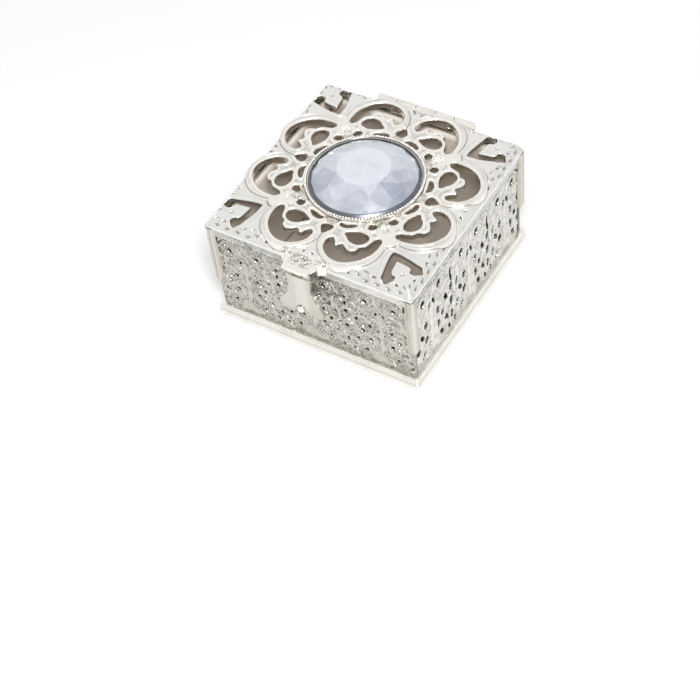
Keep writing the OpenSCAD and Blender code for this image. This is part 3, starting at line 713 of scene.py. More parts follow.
def border_surface(x, y):
    u, v = folded(x, y)
    gap = np.minimum(lid_openings(u, v), slots(u, v))
    edge = -rounded_square(x, y, LID_HALF, 1.2)
    z = SHEET_Z - 1.2 * np.maximum(1.5 - edge, 0)
    from_flower = -flower(u, v)
    z += 0.13 * soft_step(from_flower, 0.62, 0.5) * soft_step(from_flower, 0.22, 0.34)
    z -= 0.1 * soft_step(from_flower, 0.3, 0.1)
    heart_rim = outside(u, v, HEART)
    inner = soft_step(u + v, 33.2, 34.4) * soft_step(heart_rim, 1.2, 0.8)
    z += 0.1 * soft_step(heart_rim, 0.95, 0.8) * soft_step(heart_rim, -0.1, 0.1) * (1 - inner)
    dot = np.hypot(u - HEART_DOT_AT, v - HEART_DOT_AT)
    z -= 0.2 * soft_step(dot, 0.42, 0.2)
    pits = nearest_oval(u, v, BORDER_PITS, 2.0)
    z -= 0.3 * soft_step(pits, 0.1, -0.06)
    lace = grain(x, y, 0.55, 11) - 0.5
    lacy = 0.5 * soft_step(edge, 2.6, 1.6)
    z += 0.09 * lace * lacy + 0.03 * waves(x, y, 7, 8) + 0.01 * waves(x, y, 1.6, 9)
    z -= rounding(gap, 0.3)
    z -= rounding(edge, 0.25) * 0.6
    # Painted shade: dark in the pits, the dot and along the openings, in the crease next to the flower and in a
    # line beside the heart's rim; the lace's low places are darker too (patina with painted shade)
    deep = 0.9 * soft_step(pits, 0.2, -0.05) + 0.4 * soft_step(-lace, 0.12, 0.4) * lacy
    deep += 0.4 * soft_step(from_flower, 0.32, 0.12) + 0.4 * soft_step(gap, 0.2, 0.0)
    deep += 0.3 * soft_step(np.abs(heart_rim - 1.05), 0.16, 0.02) * (1 - inner)
    deep += 0.7 * soft_step(dot, 0.4, 0.25)
    return z, np.clip(deep + 0.04, 0, 1)


def lid_floor(x, y):
    return np.where(np.maximum(np.abs(x), np.abs(y)) > LID_HALF - 0.7, LID_Z, UNDER_Z)


# The walls' pattern, drawn for half a repeat

PITCH = 16.6
CLEAR = 20.7
# Ovals: place, width, height and tilt
PIERCINGS = (
    (3.4, 21.2, 1.5, 1.4, 0), (8.3, 20.2, 0.7, 1.4, 0), (8.3, 18.4, 0.7, 1.4, 0), (0.9, 18.5, 0.6, 1.3, 20),
    (8.3, 15.8, 1.2, 1.7, 0), (5.9, 14.8, 0.9, 1.7, 20), (2.6, 14, 1.1, 1.4, 0), (4.4, 11.8, 1, 1.3, -30),
    (8.3, 11.4, 1.2, 1.6, 0), (2.6, 9.7, 1.1, 1.6, 0), (5.9, 8.6, 0.9, 1.3, 30), (8.3, 7.4, 0.8, 1.5, 0),
    (3.9, 5.9, 0.9, 1.5, 35), (7, 4.9, 0.8, 1.2, 0))
# Scrolls: centre, radius, first angle and sweep
SCROLLS = ((4.2, 13.7, 2.5, -120, 250), (3.6, 9, 1.8, 10, 240), (6.6, 18.2, 1.65, 160, 210),
           (7, 6.6, 1.5, -60, 220), (1.5, 17.1, 1.25, 80, 200))


def scroll_path(cx, cz, r, first, sweep, end=0.35, turns=0.45, n=26):
    a = np.radians(first + np.linspace(0, sweep + 360 * turns, n))
    k = np.clip((np.linspace(0, sweep + 360 * turns, n) - sweep * 0.7) / (sweep * 0.3 + 360 * turns), 0, 1)
    rr = r * (1 - k * (1 - end))
    return np.stack([cx + rr * np.cos(a), cz + rr * np.sin(a)], 1)


def panel_strokes():
    """Tapered bands of half a repeat: path, first radius, last radius, height."""
    strokes = []
    for cx, cz, r, first, sweep in SCROLLS:
        strokes.append((scroll_path(cx, cz, r, first, sweep), 0.34, 0.26, 1.0))
        for k in np.linspace(0.08, 0.92, 6):
            a = math.radians(first + sweep * k)
            out = np.array([math.cos(a), math.sin(a)])
            side = np.array([-out[1], out[0]])
            start = np.array([cx, cz]) + out * (r + 0.15)
            leaf = np.array([start, start + out * 0.45 + side * 0.35, start + out * 0.7 + side * 0.85])
            strokes.append((leaf, 0.3, 0.12, 0.85))
            strokes.append((np.array([cx, cz]) + out * (r - np.array([[0.2], [0.75]])), 0.2, 0.1, 0.6))
    for a in np.radians(np.arange(0, 360, 20)):
        bead = np.array([[3.4, 21.2]] * 2) + 1.45 * np.array([math.cos(a), math.sin(a)])
        strokes.append((bead + [[0, 0], [0.01, 0]], 0.23, 0.23, 0.9))
    for k in range(7):
        a = math.radians(90 - 12.5 * k)
        out = np.array([math.cos(a), math.sin(a)])
        ray = np.array([[0, 3.4]] * 2) + np.array([[0.8], [3.4 - 0.12 * k]]) * out
        strokes.append((ray, 0.16, 0.3, 0.9))
    stem = open_spline([[0, 7.4], [0.3, 9], [0, 10.6], [0.35, 12.2], [0, 13.8], [0.3, 15.3], [0, 16.2]], 3)
    strokes.append((stem, 0.42, 0.3, 1.0))
    for z, w in ((8.6, 0.9), (11.4, 1.1), (15.2, 0.9)):
        leaf = open_spline([[0.1, z], [w, z + 0.6], [w + 0.35, z + 1.6]], 3)
        strokes.append((leaf, 0.34, 0.14, 0.9))
    for x0, z0, x1, z1 in ((8.3, 13.6, 6.6, 12.4), (8.3, 9.4, 6.4, 10.6), (8.3, 22.4, 6.4, 21.6),
                           (8.3, 5.6, 6.0, 3.6), (0.2, 20.4, 1.4, 22.6), (5.2, 22.8, 6.8, 20.2),
                           (2.2, 19.2, 4.6, 18.6)):
        mid = [(x0 + x1) / 2 + 0.25, (z0 + z1) / 2 - 0.25]
        strokes.append((open_spline([[x0, z0], mid, [x1, z1]], 3), 0.3, 0.16, 0.8))
    return strokes


STROKES = panel_strokes()


def in_repeat(u):
    return np.abs((u + PITCH / 2) % PITCH - PITCH / 2)


def panel_metal_for(half_w, low, high, bore):
    def metal(u, v):
        t = in_repeat(u)
        d = np.minimum(half_w - np.abs(u), np.minimum(v - low, high - v))
        for a, b, w, h, tilt in PIERCINGS:
            if b + h < high:
                hole = oval(t, v, a, b, w * bore[0], h * bore[1], tilt)
                middle = u - np.where((u + PITCH / 2) % PITCH - PITCH / 2 < 0, -1, 1) * (t - a)
                d = np.minimum(d, np.where(np.abs(middle) < CLEAR, hole, 2.0))
        return d
    return metal


def panel_surface_for(half_w, high, ground, relief, bore, shade, seed):
    def surface(u, v):
        t = in_repeat(u)
        swell = np.zeros(u.shape)
        for path, r0, r1, height in STROKES:
            swell = np.maximum(swell, height * tapered(t, v, path, r0, r1))
        hole = nearest_oval(t, v, [(a, b, w * bore[0], h * bore[1], tilt)
                                   for a, b, w, h, tilt in PIERCINGS if b + h < high], 2.0)
        rim = soft_step(hole, 0.42, 0.2) * soft_step(hole, -0.02, 0.12)
        swell = np.maximum(swell, 0.62 * rim)
        fade = soft_step(half_w - np.abs(u), 0.3, 0.9)
        swell *= fade
        pits = grain(u, v, 0.36, seed) * 0.5 + grain(u, v, 0.2, seed + 7) * 0.5
        rough = 0.17 * (pits - 0.5) * (1 - 0.55 * swell)
        w = ground - 0.12 + relief * swell + rough * (0.35 + 0.65 * fade) + 0.03 * waves(u, v, 5, seed)
        w -= rounding(hole, 0.16)
        # Darker in the low ground between the strokes and in the grain's pits (patina with painted shade),
        # scaled by shade, which is lower on the side walls; the edges of the piercings are painted dark as
        # shadow
        deep = 0.5 * soft_step(swell, 0.6, 0.05) * (0.3 + 0.9 * soft_step(pits, 0.66, 0.3))
        deep = shade * (deep + 0.25 * soft_step(pits, 0.42, 0.2)) + soft_step(hole, 0.16, 0.05)
        return np.minimum(w, ground + 0.4), np.clip(deep, 0, 1)
    return surface


def rail_metal_for(half_w, z0, z1, corner, corner_x):
    def metal(u, v):
        bar = np.minimum(v - z0, z1 - v)
        a, b = np.abs(u) - (corner_x - corner), z0 - v
        web = np.minimum(np.hypot(a, corner - b) - corner, np.minimum(corner_x - np.abs(u), corner - b))
        web = np.where(a > 0, web, -1.0)
        web = np.where(v < z0 + 0.02, web, bar)
        return np.minimum(np.maximum(bar, web), half_w - np.abs(u))
    return metal


def rail_surface_for(face, metal, seed):
    def surface(u, v):
        a, b = u / 0.46, v / 0.4
        dots = np.cos(math.tau * a + math.pi * np.floor(b)) * np.cos(math.tau * (b % 1 - 0.5) * 0.5)
        s_line = v - RAIL_LOW[2] - 1.5 - 0.5 * np.sin(u * 1.9) - 0.1 * np.sin(u * 7)
        band = np.exp(-(s_line / 0.22) ** 2)
        rough = grain(u, v, 0.3, seed)
        left = 0.45 + 0.55 * soft_step(u, 14, -14)
        relief = (0.09 * dots + 0.07 * band + 0.08 * (rough - 0.5)) * left
        w = face - 0.16 + relief + 0.015 * waves(u, v, 4, seed)
        top = RAIL_HIGH[2]
        edge = np.minimum(np.abs(v - top), 1.0)
        w -= rounding(edge, 0.15)
        # Darker in the stipple's dots and grain, more so towards one end (patina with painted shade), and
        # painted shadow along the lower edges and round the hollow corners
        deep = (0.75 * soft_step(dots, 0.2, -0.5) * (1 - band) + 0.35 * soft_step(rough, 0.45, 0.15)) * left
        deep += 0.9 * soft_step(metal(u, v), 0.24, 0.08) * soft_step(v, top - 0.6, top - 1.0)
        return np.minimum(w, face), np.clip(deep + 0.05, 0, 1)
    return surface


WALLS = (("front", 0), ("right", 1), ("back", 2), ("left", 3))


class KEEPSAKEBOX_OT_base(bpy.types.Operator):
    """Moulded base plate and plinth frame"""
    bl_idname = "keepsakebox.base"
    bl_label = "Base and plinth"

    def execute(self, context):
        half, top = BASE_HIGH[0], BASE_HIGH[2]
        ridge, frame_top = PLINTH_HIGH[0], PLINTH_HIGH[2]
        inner, middle = 24, 2
        base = Shell()
        profile = [(middle, 0.0), (half - 0.5, 0.0), (half - 0.1, 0.04), (half, 0.16), (half, 0.5),
                   (half - 0.05, top - 0.16), (half - 0.18, top - 0.02), (half - 0.35, top),
                   (ridge - 1.2, top)]
        base.grid(square_rows(profile, 0.7), closed=True, tarnish_and_shade=0.05)
        base.add(square_points(inner, FLOOR_LOW[2]), [[0, 1, 2, 3]], 0.3)
        base.add(square_points(middle, 0), [[3, 2, 1, 0]], 0.3)
        base.piece("base_plate_casting", finish_named("bright_silver"), "case", "silver_plate",
                   ["base_plate"])
        wall = PANEL_HIGH[0] - WALL
        rise = frame_top - top - 0.62
        cove = [(ridge - 0.02 - 0.36 * math.sin(t * math.pi) ** 0.7, top + 0.02 + rise * t)
                for t in np.linspace(0, 1, 9)]
        bead = [(ridge - 0.28 + 0.3 * math.cos(a), frame_top - 0.3 + 0.3 * math.sin(a))
                for a in np.radians(np.linspace(-70, 90, 9))]
        ring = Shell()
        ring.grid(square_rows([(ridge - 0.3, top - 0.02), *cove, *bead, (wall, frame_top), (wall, top)], 0.5),
                  closed=True, tarnish_and_shade=0.08)
        ring.piece("plinth_moulding", finish_named("bright_silver"), "case", "silver_plate", ["plinth_frame"])
        return {"FINISHED"}


class KEEPSAKEBOX_OT_panels(bpy.types.Operator):
    """Four pierced scroll-relief wall panels"""
    bl_idname = "keepsakebox.panels"
    bl_label = "Wall panels"

    def execute(self, context):
        step = context.scene.keepsake_box.panel_step / MM
        ground = PANEL_HIGH[0]
        low, high = PANEL_LOW[2], PANEL_HIGH[2]
        for side, quarter in WALLS:
            wide = side in ("front", "back")
            half_w = ground if wide else ground - WALL
            # Front and back take the full painted shade and the darker filigree finish, the side walls less
            # shade and a lighter finish; the walls of all piercings are painted dark as shadow
            bore, shade = ((0.65, 0.65), 1.0) if wide else ((1.0, 1.3), 0.4)
            points, faces, tarnish_and_shade = casting(
                steps_between(-half_w, half_w, step), steps_between(low, high, step),
                panel_metal_for(half_w, low, high, bore),
                panel_surface_for(half_w, high, ground, 0.42, bore, shade, 20 + quarter),
                lambda u, v: np.full(u.shape, ground - 0.95), wall_foot_shade=1.0)
            add_piece(f"{side}_panel_casting", turned(upright(points), quarter), faces,
                      finish_named("filigree_silver" if wide else "side_filigree"), "case",
                      [f"{side}_panel"], tarnish_and_shade, 60)
        return {"FINISHED"}


class KEEPSAKEBOX_OT_rails(bpy.types.Operator):
    """Four stippled top rails with hollow corners"""
    bl_idname = "keepsakebox.rails"
    bl_label = "Top rails"

    def execute(self, context):
        z0, z1 = PANEL_HIGH[2], RAIL_HIGH[2]
        face, inner = RAIL_HIGH[0], PANEL_HIGH[0] - WALL
        corner_x = POST_HIGH[0] - 2.8
        for side, quarter in WALLS:
            half_w = face if side in ("front", "back") else inner
            metal = rail_metal_for(half_w, z0, z1, RAIL_CORNER, corner_x)
            points, faces, tarnish_and_shade = casting(
                steps_between(-half_w, half_w, 0.1), steps_between(z0 - RAIL_CORNER, z1, 0.1),
                metal, rail_surface_for(face, metal, 40 + quarter),
                lambda u, v: np.where(v < z0 - 0.02, PANEL_HIGH[0] - 0.05, inner))
            shell = Shell().add(turned(upright(points), quarter), faces, tarnish_and_shade)
            back = np.array([[-half_w, z0, inner], [half_w, z0, inner], [half_w, z1, inner],
                             [-half_w, z1, inner]])
            shell.add(turned(upright(back), quarter), [[3, 2, 1, 0]], 0.2)
            shell.piece(f"{side}_rail_casting", finish_named("side_filigree"), "case", "filigree_silver",
                        [f"{side}_rail"], 50)
        return {"FINISHED"}


class KEEPSAKEBOX_OT_posts(bpy.types.Operator):
    """Four rounded corner posts with a raised rim and a rounded foot"""
    bl_idname = "keepsakebox.posts"
    bl_label = "Corner posts"

    def execute(self, context):
        at, foot, top = POST_HIGH[0] - POST_R, POST_LOW[2], POST_HIGH[2] - POST_CAP_DROP
        long = POST_FOOT_RATIO * POST_R
        spread = np.radians(np.linspace(-128, 128, 33))
        for name, sx, sy in (("front_left", -1, -1), ("front_right", 1, -1), ("back_left", -1, 1),
                             ("back_right", 1, 1)):
            out = math.atan2(sy, sx)
            heights = np.concatenate([foot + long * (1 - np.cos(np.linspace(0.02, math.pi / 2, 14))),
                                      np.linspace(foot + long, top, 40)[1:]])
            rows, deep = [], []
            for z in heights:
                lift = max(0.0, foot + long - z) / long
                r = POST_R * math.sqrt(max(1 - lift ** 2, 0.0002))
                row, tone = [], []
                for a in spread:
                    lip = math.exp(-((abs(a) - math.radians(72)) / 0.14) ** 2)
                    rim = max(lip, 1 - min((z - foot) / 0.5, 1))
                    rr = r * (1 - 0.1 * (1 - rim))
                    row.append([sx * at + rr * math.cos(out + a), sy * at + rr * math.sin(out + a), z])
                    # Painted highlight and shade: a bright stripe just off the middle of the post, darker
                    # flanks, a dark line painted beside the raised rim, and the rim and foot kept bright
                    painted_highlight_stripe = math.exp(-((a - math.radians(6)) / 0.22) ** 2)
                    rim_shade_line = math.exp(-((abs(a) - math.radians(57)) / 0.13) ** 2)
                    tone.append(0.42 * (1 - painted_highlight_stripe) * (1 - rim) + 0.4 * rim_shade_line)
                rows.append(row)
                deep += tone
            post = Shell()
            post.grid(rows, tarnish_and_shade=deep)
            cap = [[sx * at, sy * at, top]] + rows[-1]
            post.add(cap, [[0, i, i % (len(cap) - 1) + 1] for i in range(1, len(cap))], 0.1)
            post.piece(f"{name}_post_casting", finish_named("shaded_satin_silver"), "case", "silver_plate",
                       [f"{name}_post"], 60)
        return {"FINISHED"}


class KEEPSAKEBOX_OT_lid(bpy.types.Operator):
    """Cast openwork lid: the flower, its border and its underside"""
    bl_idname = "keepsakebox.lid"
    bl_label = "Lid"

    def execute(self, context):
        step = context.scene.keepsake_box.casting_step / MM
        span = steps_between(-LID_HALF, LID_HALF, step)
        for name, metal, surface, finish in (
                ("lid_flower_casting", flower_metal, flower_surface, "bright_silver"),
                ("lid_border_casting", border_metal, border_surface, "shaded_border_silver")):
            points, faces, tarnish_and_shade = casting(span, span, metal, surface, lid_floor, wall_foot_shade=0.04)
            add_piece(name, points, faces, finish_named(finish), "lid", ["lid_plate"],
                      tarnish_and_shade, 60)

        inset = 24.02

        def under_metal(x, y):
            u, v = folded(x, y)
            return np.minimum.reduce([lid_openings(u, v), slots(u, v), inset - v,
                                      np.hypot(x, y) - UNDER_HOLE_R])

        def under_surface(x, y):
            return UNDER_Z + 0.02 * waves(x, y, 5, 4), np.full(x.shape, 0.05)
        coarse = steps_between(-inset, inset, 0.25)
        points, faces, tarnish_and_shade = casting(coarse, coarse, under_metal, under_surface,
                                        lambda x, y: np.full(x.shape, UNDER_Z + 0.05))
        under = Shell().add(points, faces[:, ::-1], tarnish_and_shade)
        rim = LID_HALF - LID_RIM
        skirt = [(rim, UNDER_Z + 0.02), (rim, LID_Z + 0.08), (rim + 0.08, LID_Z), (LID_HALF - 0.02, LID_Z)]
        under.grid(square_rows(skirt, 0.5), closed=True, tarnish_and_shade=0.15)
        under.piece("lid_underside", finish_named("shaded_satin_silver"), "lid", "silver_plate", ["lid_plate"])
        return {"FINISHED"}


class KEEPSAKEBOX_OT_stone(bpy.types.Operator):
    """Setting, beaded ring, foil disc and faceted stone"""
    bl_idname = "keepsakebox.stone"
    bl_label = "Stone and setting"

    def execute(self, context):
        r, low, high = CUP_HIGH[0], CUP_LOW[2], CUP_HIGH[2]
        stone_r = FOIL_HIGH[0]
        cup = Shell()
        profile = [(0.01, low), (r - 0.2, low), (r, low + 0.15), (r, high - 0.6), (r - 0.1, high - 0.3),
                   (r - 0.3, high - 0.12), (r - 0.5, high - 0.08), (stone_r + 0.02, high - 0.16),
                   (stone_r + 0.03, FOIL_LOW[2]), (0.01, FOIL_LOW[2])]
        cup.grid(lathe(profile, 128), closed=True, tarnish_and_shade=0.15)
        cup.piece("setting_cup", finish_named("bright_silver"), "lid", "silver_plate", ["bezel_cup"])

        ring = Shell()
        beads = context.scene.keepsake_box.bead_count
        middle = r - 0.2
        wire_z = high - 0.12
        a = np.linspace(0, math.tau, 16, endpoint=False)
        reach = middle - 0.12 + WIRE_R * np.cos(a)
        wire = [np.stack([reach * math.cos(t), reach * math.sin(t), wire_z + WIRE_R * np.sin(a)], 1)
                for t in np.linspace(0, math.tau, 169)]
        # The wire under the beads is painted dark, as shade between the beads
        ring.grid(wire, closed=True, tarnish_and_shade=0.9, flip=True)
        bm = bmesh.new()
        bmesh.ops.create_uvsphere(bm, u_segments=12, v_segments=8, radius=1)
        bm.verts.index_update()
        ball = np.array([list(v.co) for v in bm.verts])
        ball_faces = [[v.index for v in f.verts] for f in bm.faces]
        bm.free()
        rng = np.random.default_rng(12)
        for i in range(beads):
            t = math.tau * i / beads
            size = BEAD_R * rng.uniform(0.93, 1.0)
            centre = np.array([middle * math.cos(t), middle * math.sin(t), high + 0.06])
            # Each bead is painted darker on its underside, as shade
            ring.add(centre + ball * size, ball_faces, 0.5 * np.clip(0.3 - ball[:, 2], 0, 1))
        ring.piece("setting_beads", finish_named("bright_silver"), "lid", "silver_plate", ["beaded_ring"])

        foil, facets = Shell(), 20
        radii, rng = (0.01, 5.2, 8.0, 10.4, stone_r), np.random.default_rng(7)
        for k in range(4):
            for j in range(facets):
                ends = [math.tau * (j + h + 0.5 * (k % 2)) / facets for h in (0, 1)]
                middle = sum(ends) / 2
                tilt = rng.uniform(0.02, 0.16)
                quad = [[radii[k + i] * math.cos(ends[h]), radii[k + i] * math.sin(ends[h]),
                         FOIL_HIGH[2] - 0.02 - tilt * ((i + h) % 2)]
                        for i, h in ((0, 0), (1, 0), (1, 1), (0, 1))]
                # Painted reflection on the foil: darker in the outer rings and on the front of the stone, with
                # a random spread
                near = 0.5 - 0.5 * math.sin(middle)
                stray = (0, 0.2, 0.35, 0.25)[k] * rng.uniform(-1, 1)
                tone = (0.02, 0.2, 0.55, 0.8)[k] * (0.3 + 0.9 * near) + stray
                foil.add(quad, [[0, 1, 2, 3]], min(max(tone, 0), 1))
        foil.piece("mirror_foil_disc", finish_named("mirror_foil"), "lid", "mirror_foil", ["foil_disc"],
                   flat=True)

        z0, z1, z2 = STONE_LOW[2], CUP_HIGH[2], STONE_HIGH[2]
        crown, edge = z2 - z1, stone_r - STONE_EDGE
        rng = np.random.default_rng(31)
        heights = ((6.0, z2 - 0.02, 10, 9, 0.0), (8.7, z1 + crown * 0.68, 10, 27, 0.25),
                   (10.4, z1 + crown * 0.36, 20, 9, 0.25), (edge, z1 + 0.12, 20, 0, 0.1))
        loops = []
        for rr, z, n, first, stray in heights:
            turns = np.radians(first + (np.arange(n) + rng.uniform(-stray, stray, n)) * 360 / n)
            loops.append([np.array([rr * math.cos(t), rr * math.sin(t), z]) for t in turns])
        bm = bmesh.new()
        for p in [q for ring_points in loops for q in ring_points]:
            bm.verts.new(p)
        for t in np.linspace(0, math.tau, 40, endpoint=False):
            bm.verts.new((edge * math.cos(t), edge * math.sin(t), z0 + 0.01))
        bmesh.ops.convex_hull(bm, input=bm.verts[:])
        bmesh.ops.dissolve_limit(bm, angle_limit=math.radians(4), verts=bm.verts[:], edges=bm.edges[:])
        stone = Shell()
        for face in bm.faces:
            middle = face.calc_center_median()
            reach, turn = math.hypot(middle.x, middle.y), math.degrees(math.atan2(middle.y, middle.x)) % 360
            # Painted shade on the stone: facets past the table are darker, most of all those turned towards
            # about 350, 226 and 285 degrees and further out, with a random spread
            shade = max(math.exp(-((turn - 350) / 38) ** 2), math.exp(-((turn + 10) / 38) ** 2),
                        0.9 * math.exp(-((turn - 226) / 24) ** 2), 0.7 * math.exp(-((turn - 285) / 22) ** 2))
            painted_facet_shade = 0.6 * shade * min((reach - 4) / 4.5, 1)
            level = 0.02 if reach < 4 else 0.1 + painted_facet_shade + rng.uniform(0.0, 0.1)
            stone.add([list(v.co) for v in face.verts], [list(range(len(face.verts)))], min(max(level, 0), 1))
        bm.free()
        stone.piece("faceted_stone", finish_named("pale_blue_stone"), "lid", "pale_blue_stone", ["crystal"],
                    flat=True)
        # Dark band round the stone's edge: painted shade of the groove between stone and setting
        band = Shell()
        profile = [(edge - 0.05, z0 + 0.05), (edge - 0.04, z1 + 0.3), (edge + 0.15, z1 + 0.34),
                   (stone_r - 0.2, z1 + 0.16), (stone_r + 0.02, z1 - 0.05), (stone_r + 0.02, z0 + 0.05)]
        band.grid(lathe(profile, 128), closed=True, tarnish_and_shade=0.2, flip=True)
        band.piece("stone_edge_band", finish_named("shaded_stone_rim"), "lid", "pale_blue_stone", ["crystal"])
        return {"FINISHED"}


def barrel(x0, x1, r, y, z, sides=32, soft=0.12):
    """Rows of a knuckle or rod along X with softened ends and closed faces."""
    profile = [(0.01, x0), (r - soft, x0), (r, x0 + soft), (r, x1 - soft), (r - soft, x1), (0.01, x1)]
    return lathe(profile, sides, "X", (0, y, z))


def dome(r, base, rise, n):
    """Profile of a domed end."""
    return [(r * math.cos(t), base + rise * math.sin(t)) for t in np.radians(np.linspace(0, 88, n))]


class KEEPSAKEBOX_OT_clasp(bpy.types.Operator):
    """Lug, pin, pronged hasp and catch stud"""
    bl_idname = "keepsakebox.clasp"
    bl_label = "Clasp"

    def execute(self, context):
        front, top = LUG_LOW[1], LUG_HIGH[2]
        pin_y = (CLASP_PIN_LOW[1] + CLASP_PIN_HIGH[1]) / 2
        pin_z = (CLASP_PIN_LOW[2] + CLASP_PIN_HIGH[2]) / 2
        knuckle = pin_y - HASP_LOW[1]
        half = LID_HALF
        side = open_spline([[LUG_HALF, -half], [5.3, -half - 0.55], [4.3, -half - 1.0], [3.85, -half - 1.9],
                            [3.3, -half - 3], [3.1, front]], 5)
        root = -half + LUG_ROOT
        lug_plan = np.concatenate([[[LUG_HALF, root]], side, side[::-1] * [-1, 1], [[-LUG_HALF, root]]])

        def lug_metal(x, y):
            return np.minimum(-outside(x, y, lug_plan), -0.02 - petal_depth(np.abs(x), -y))

        def lug_surface(x, y):
            edge = lug_metal(x, y)
            bell = outside(x, y, lug_plan * [0.8, 1.0])
            tray = soft_step(-bell, 0.35, 0.6) * soft_step(y, front + 1.3, front + 1.55)
            tray *= soft_step(y, -half + 0.9, -half + 0.5)
            dots = grain(x, y, 0.5, 33)
            z = top - rounding(edge, 0.25) - 0.28 * tray + 0.12 * tray * (dots - 0.5)
            hole = np.hypot(np.abs(x) - 1.1, y + half + 1.2) - 0.35
            hole = np.minimum(hole, np.hypot(np.abs(x) - 0.4, y + half + 0.1) - 0.3)
            hole = np.minimum(hole, np.hypot(np.abs(x) - 4.85, y + half + 0.2) - 0.38)
            z -= 0.3 * soft_step(hole, 0.1, -0.1)
            # Darker in the tray's dots (patina with painted shade); the small holes' dents are painted near
            # black, as shadow
            deep = tray * (0.15 + 0.5 * soft_step(dots, 0.6, 0.3)) + 0.95 * soft_step(hole, 0.12, -0.05)
            return z, np.clip(deep, 0, 1)
        points, faces, tarnish_and_shade = casting(
            steps_between(-LUG_HALF, LUG_HALF, 0.1), steps_between(front, root, 0.1), lug_metal, lug_surface,
            lambda x, y: np.where(y < pin_y + knuckle + 0.2, top - 0.6, LUG_LOW[2]), closed=True)
        lug = Shell().add(points, faces, tarnish_and_shade)
        lug.grid(barrel(-LUG_BARREL_HALF, LUG_BARREL_HALF, knuckle, pin_y, pin_z), closed=True, tarnish_and_shade=0.1)
        neck = LUG_BARREL_HALF - 0.02
        lug.add(*soft_block((-neck, pin_y - 0.4, pin_z), (neck, pin_y + 0.4, top - 0.55), 0.05), 0.2)
        lug.piece("clasp_lug_casting", finish_named("bright_silver"), "lid", "silver_plate", ["clasp_lug"],
                  50)

        pin = Shell()
        x1 = min(CLASP_PIN_HIGH[0], PRONG_OUTER)
        pin.grid(barrel(-x1, x1, CLASP_PIN_HIGH[2] - pin_z, pin_y, pin_z, 24, 0.1), closed=True)
        pin.piece("clasp_pin_rod", finish_named("bright_silver"), "lid", "silver_plate", ["clasp_pin"])

        foot = HASP_LOW[2]
        edge_line = open_spline([
            [3.1, pin_z], [3.0, pin_z - 1.6], [2.9, pin_z - 3.4], [2.8, pin_z - 5.2], [3.5, foot + 4.7],
            [4.6, foot + 3.5], [5.4, foot + 2.2], [5.2, foot + 0.8], [4.4, foot], [3.4, foot + 0.1]], 5)
        arch = open_spline([[2.05, foot + 0.5], [1.25, foot + 1.1], [0.79, foot + 2.05], [0, foot + 2.35]], 5)
        line = np.concatenate([edge_line, arch[:-1]])
        hasp_plan = np.concatenate([line, [[0, foot + 2.35]], line[::-1] * [-1, 1]])
        face = -HASP_LOW[1]

        def hasp_metal(x, z):
            d = -outside(x, z, hasp_plan)
            notch = np.maximum(np.abs(x) - PRONG_INNER, pin_z - knuckle - 0.15 - z)
            return np.minimum(d, notch)

        def hasp_surface(x, z):
            d = hasp_metal(x, z)
            w = face - rounding(d, 0.28) - 0.035 * x * x * soft_step(z, foot + 2.4, foot + 5.4)
            w -= 0.1 * soft_step(np.abs(x), 0.8, 0.2) * soft_step(z, foot + 5.2, foot + 2.6)
            # Painted highlight and shade: a bright band just right of the middle, darker towards the sides and
            # along the outline, and darker at the top below the knuckles
            deep = 0.3 * soft_step(np.abs(x - 0.5), 0.5, 1.9) + 0.45 * soft_step(d, 0.3, 0.05)
            deep += 0.8 * soft_step(z, pin_z - knuckle - 0.5, pin_z - knuckle)
            return w + 0.012 * waves(x, z, 4, 6), deep
        points, faces, tarnish_and_shade = casting(
            steps_between(-5.6, 5.6, 0.1), steps_between(foot, pin_z, 0.1), hasp_metal, hasp_surface,
            lambda x, z: np.full(x.shape, face - 0.58), closed=True)
        hasp = Shell().add(upright(points), faces, tarnish_and_shade)
        for x0, x1 in ((-PRONG_OUTER, -PRONG_INNER), (PRONG_INNER, PRONG_OUTER)):
            hasp.grid(barrel(x0, x1, knuckle, pin_y, pin_z), closed=True, tarnish_and_shade=0.1)
        hasp.piece("hasp_tongue", finish_named("shaded_satin_silver"), "hasp", "silver_plate", ["clasp_hasp"], 50)

        stud = Shell()
        wall = STUD_HIGH[1]
        reach = wall - STUD_LOW[1]
        sr = (STUD_HIGH[2] - STUD_LOW[2]) / 2
        neck = sr / 1.6
        profile = [(sr - 0.02, 0), (sr, 0.3), (sr - 0.15, 0.48), (neck + 0.1, 0.52), (neck, 0.7),
                   *dome(neck, reach - 0.5, 0.48, 8)]
        stud_z = (STUD_HIGH[2] + STUD_LOW[2]) / 2
        stud.grid(lathe(profile, 32, "-Y", (0, wall, stud_z)), closed=True, tarnish_and_shade=0.1)
        stud.piece("catch_stud_peg", finish_named("bright_silver"), "case", "silver_plate", ["catch_stud"])
        return {"FINISHED"}


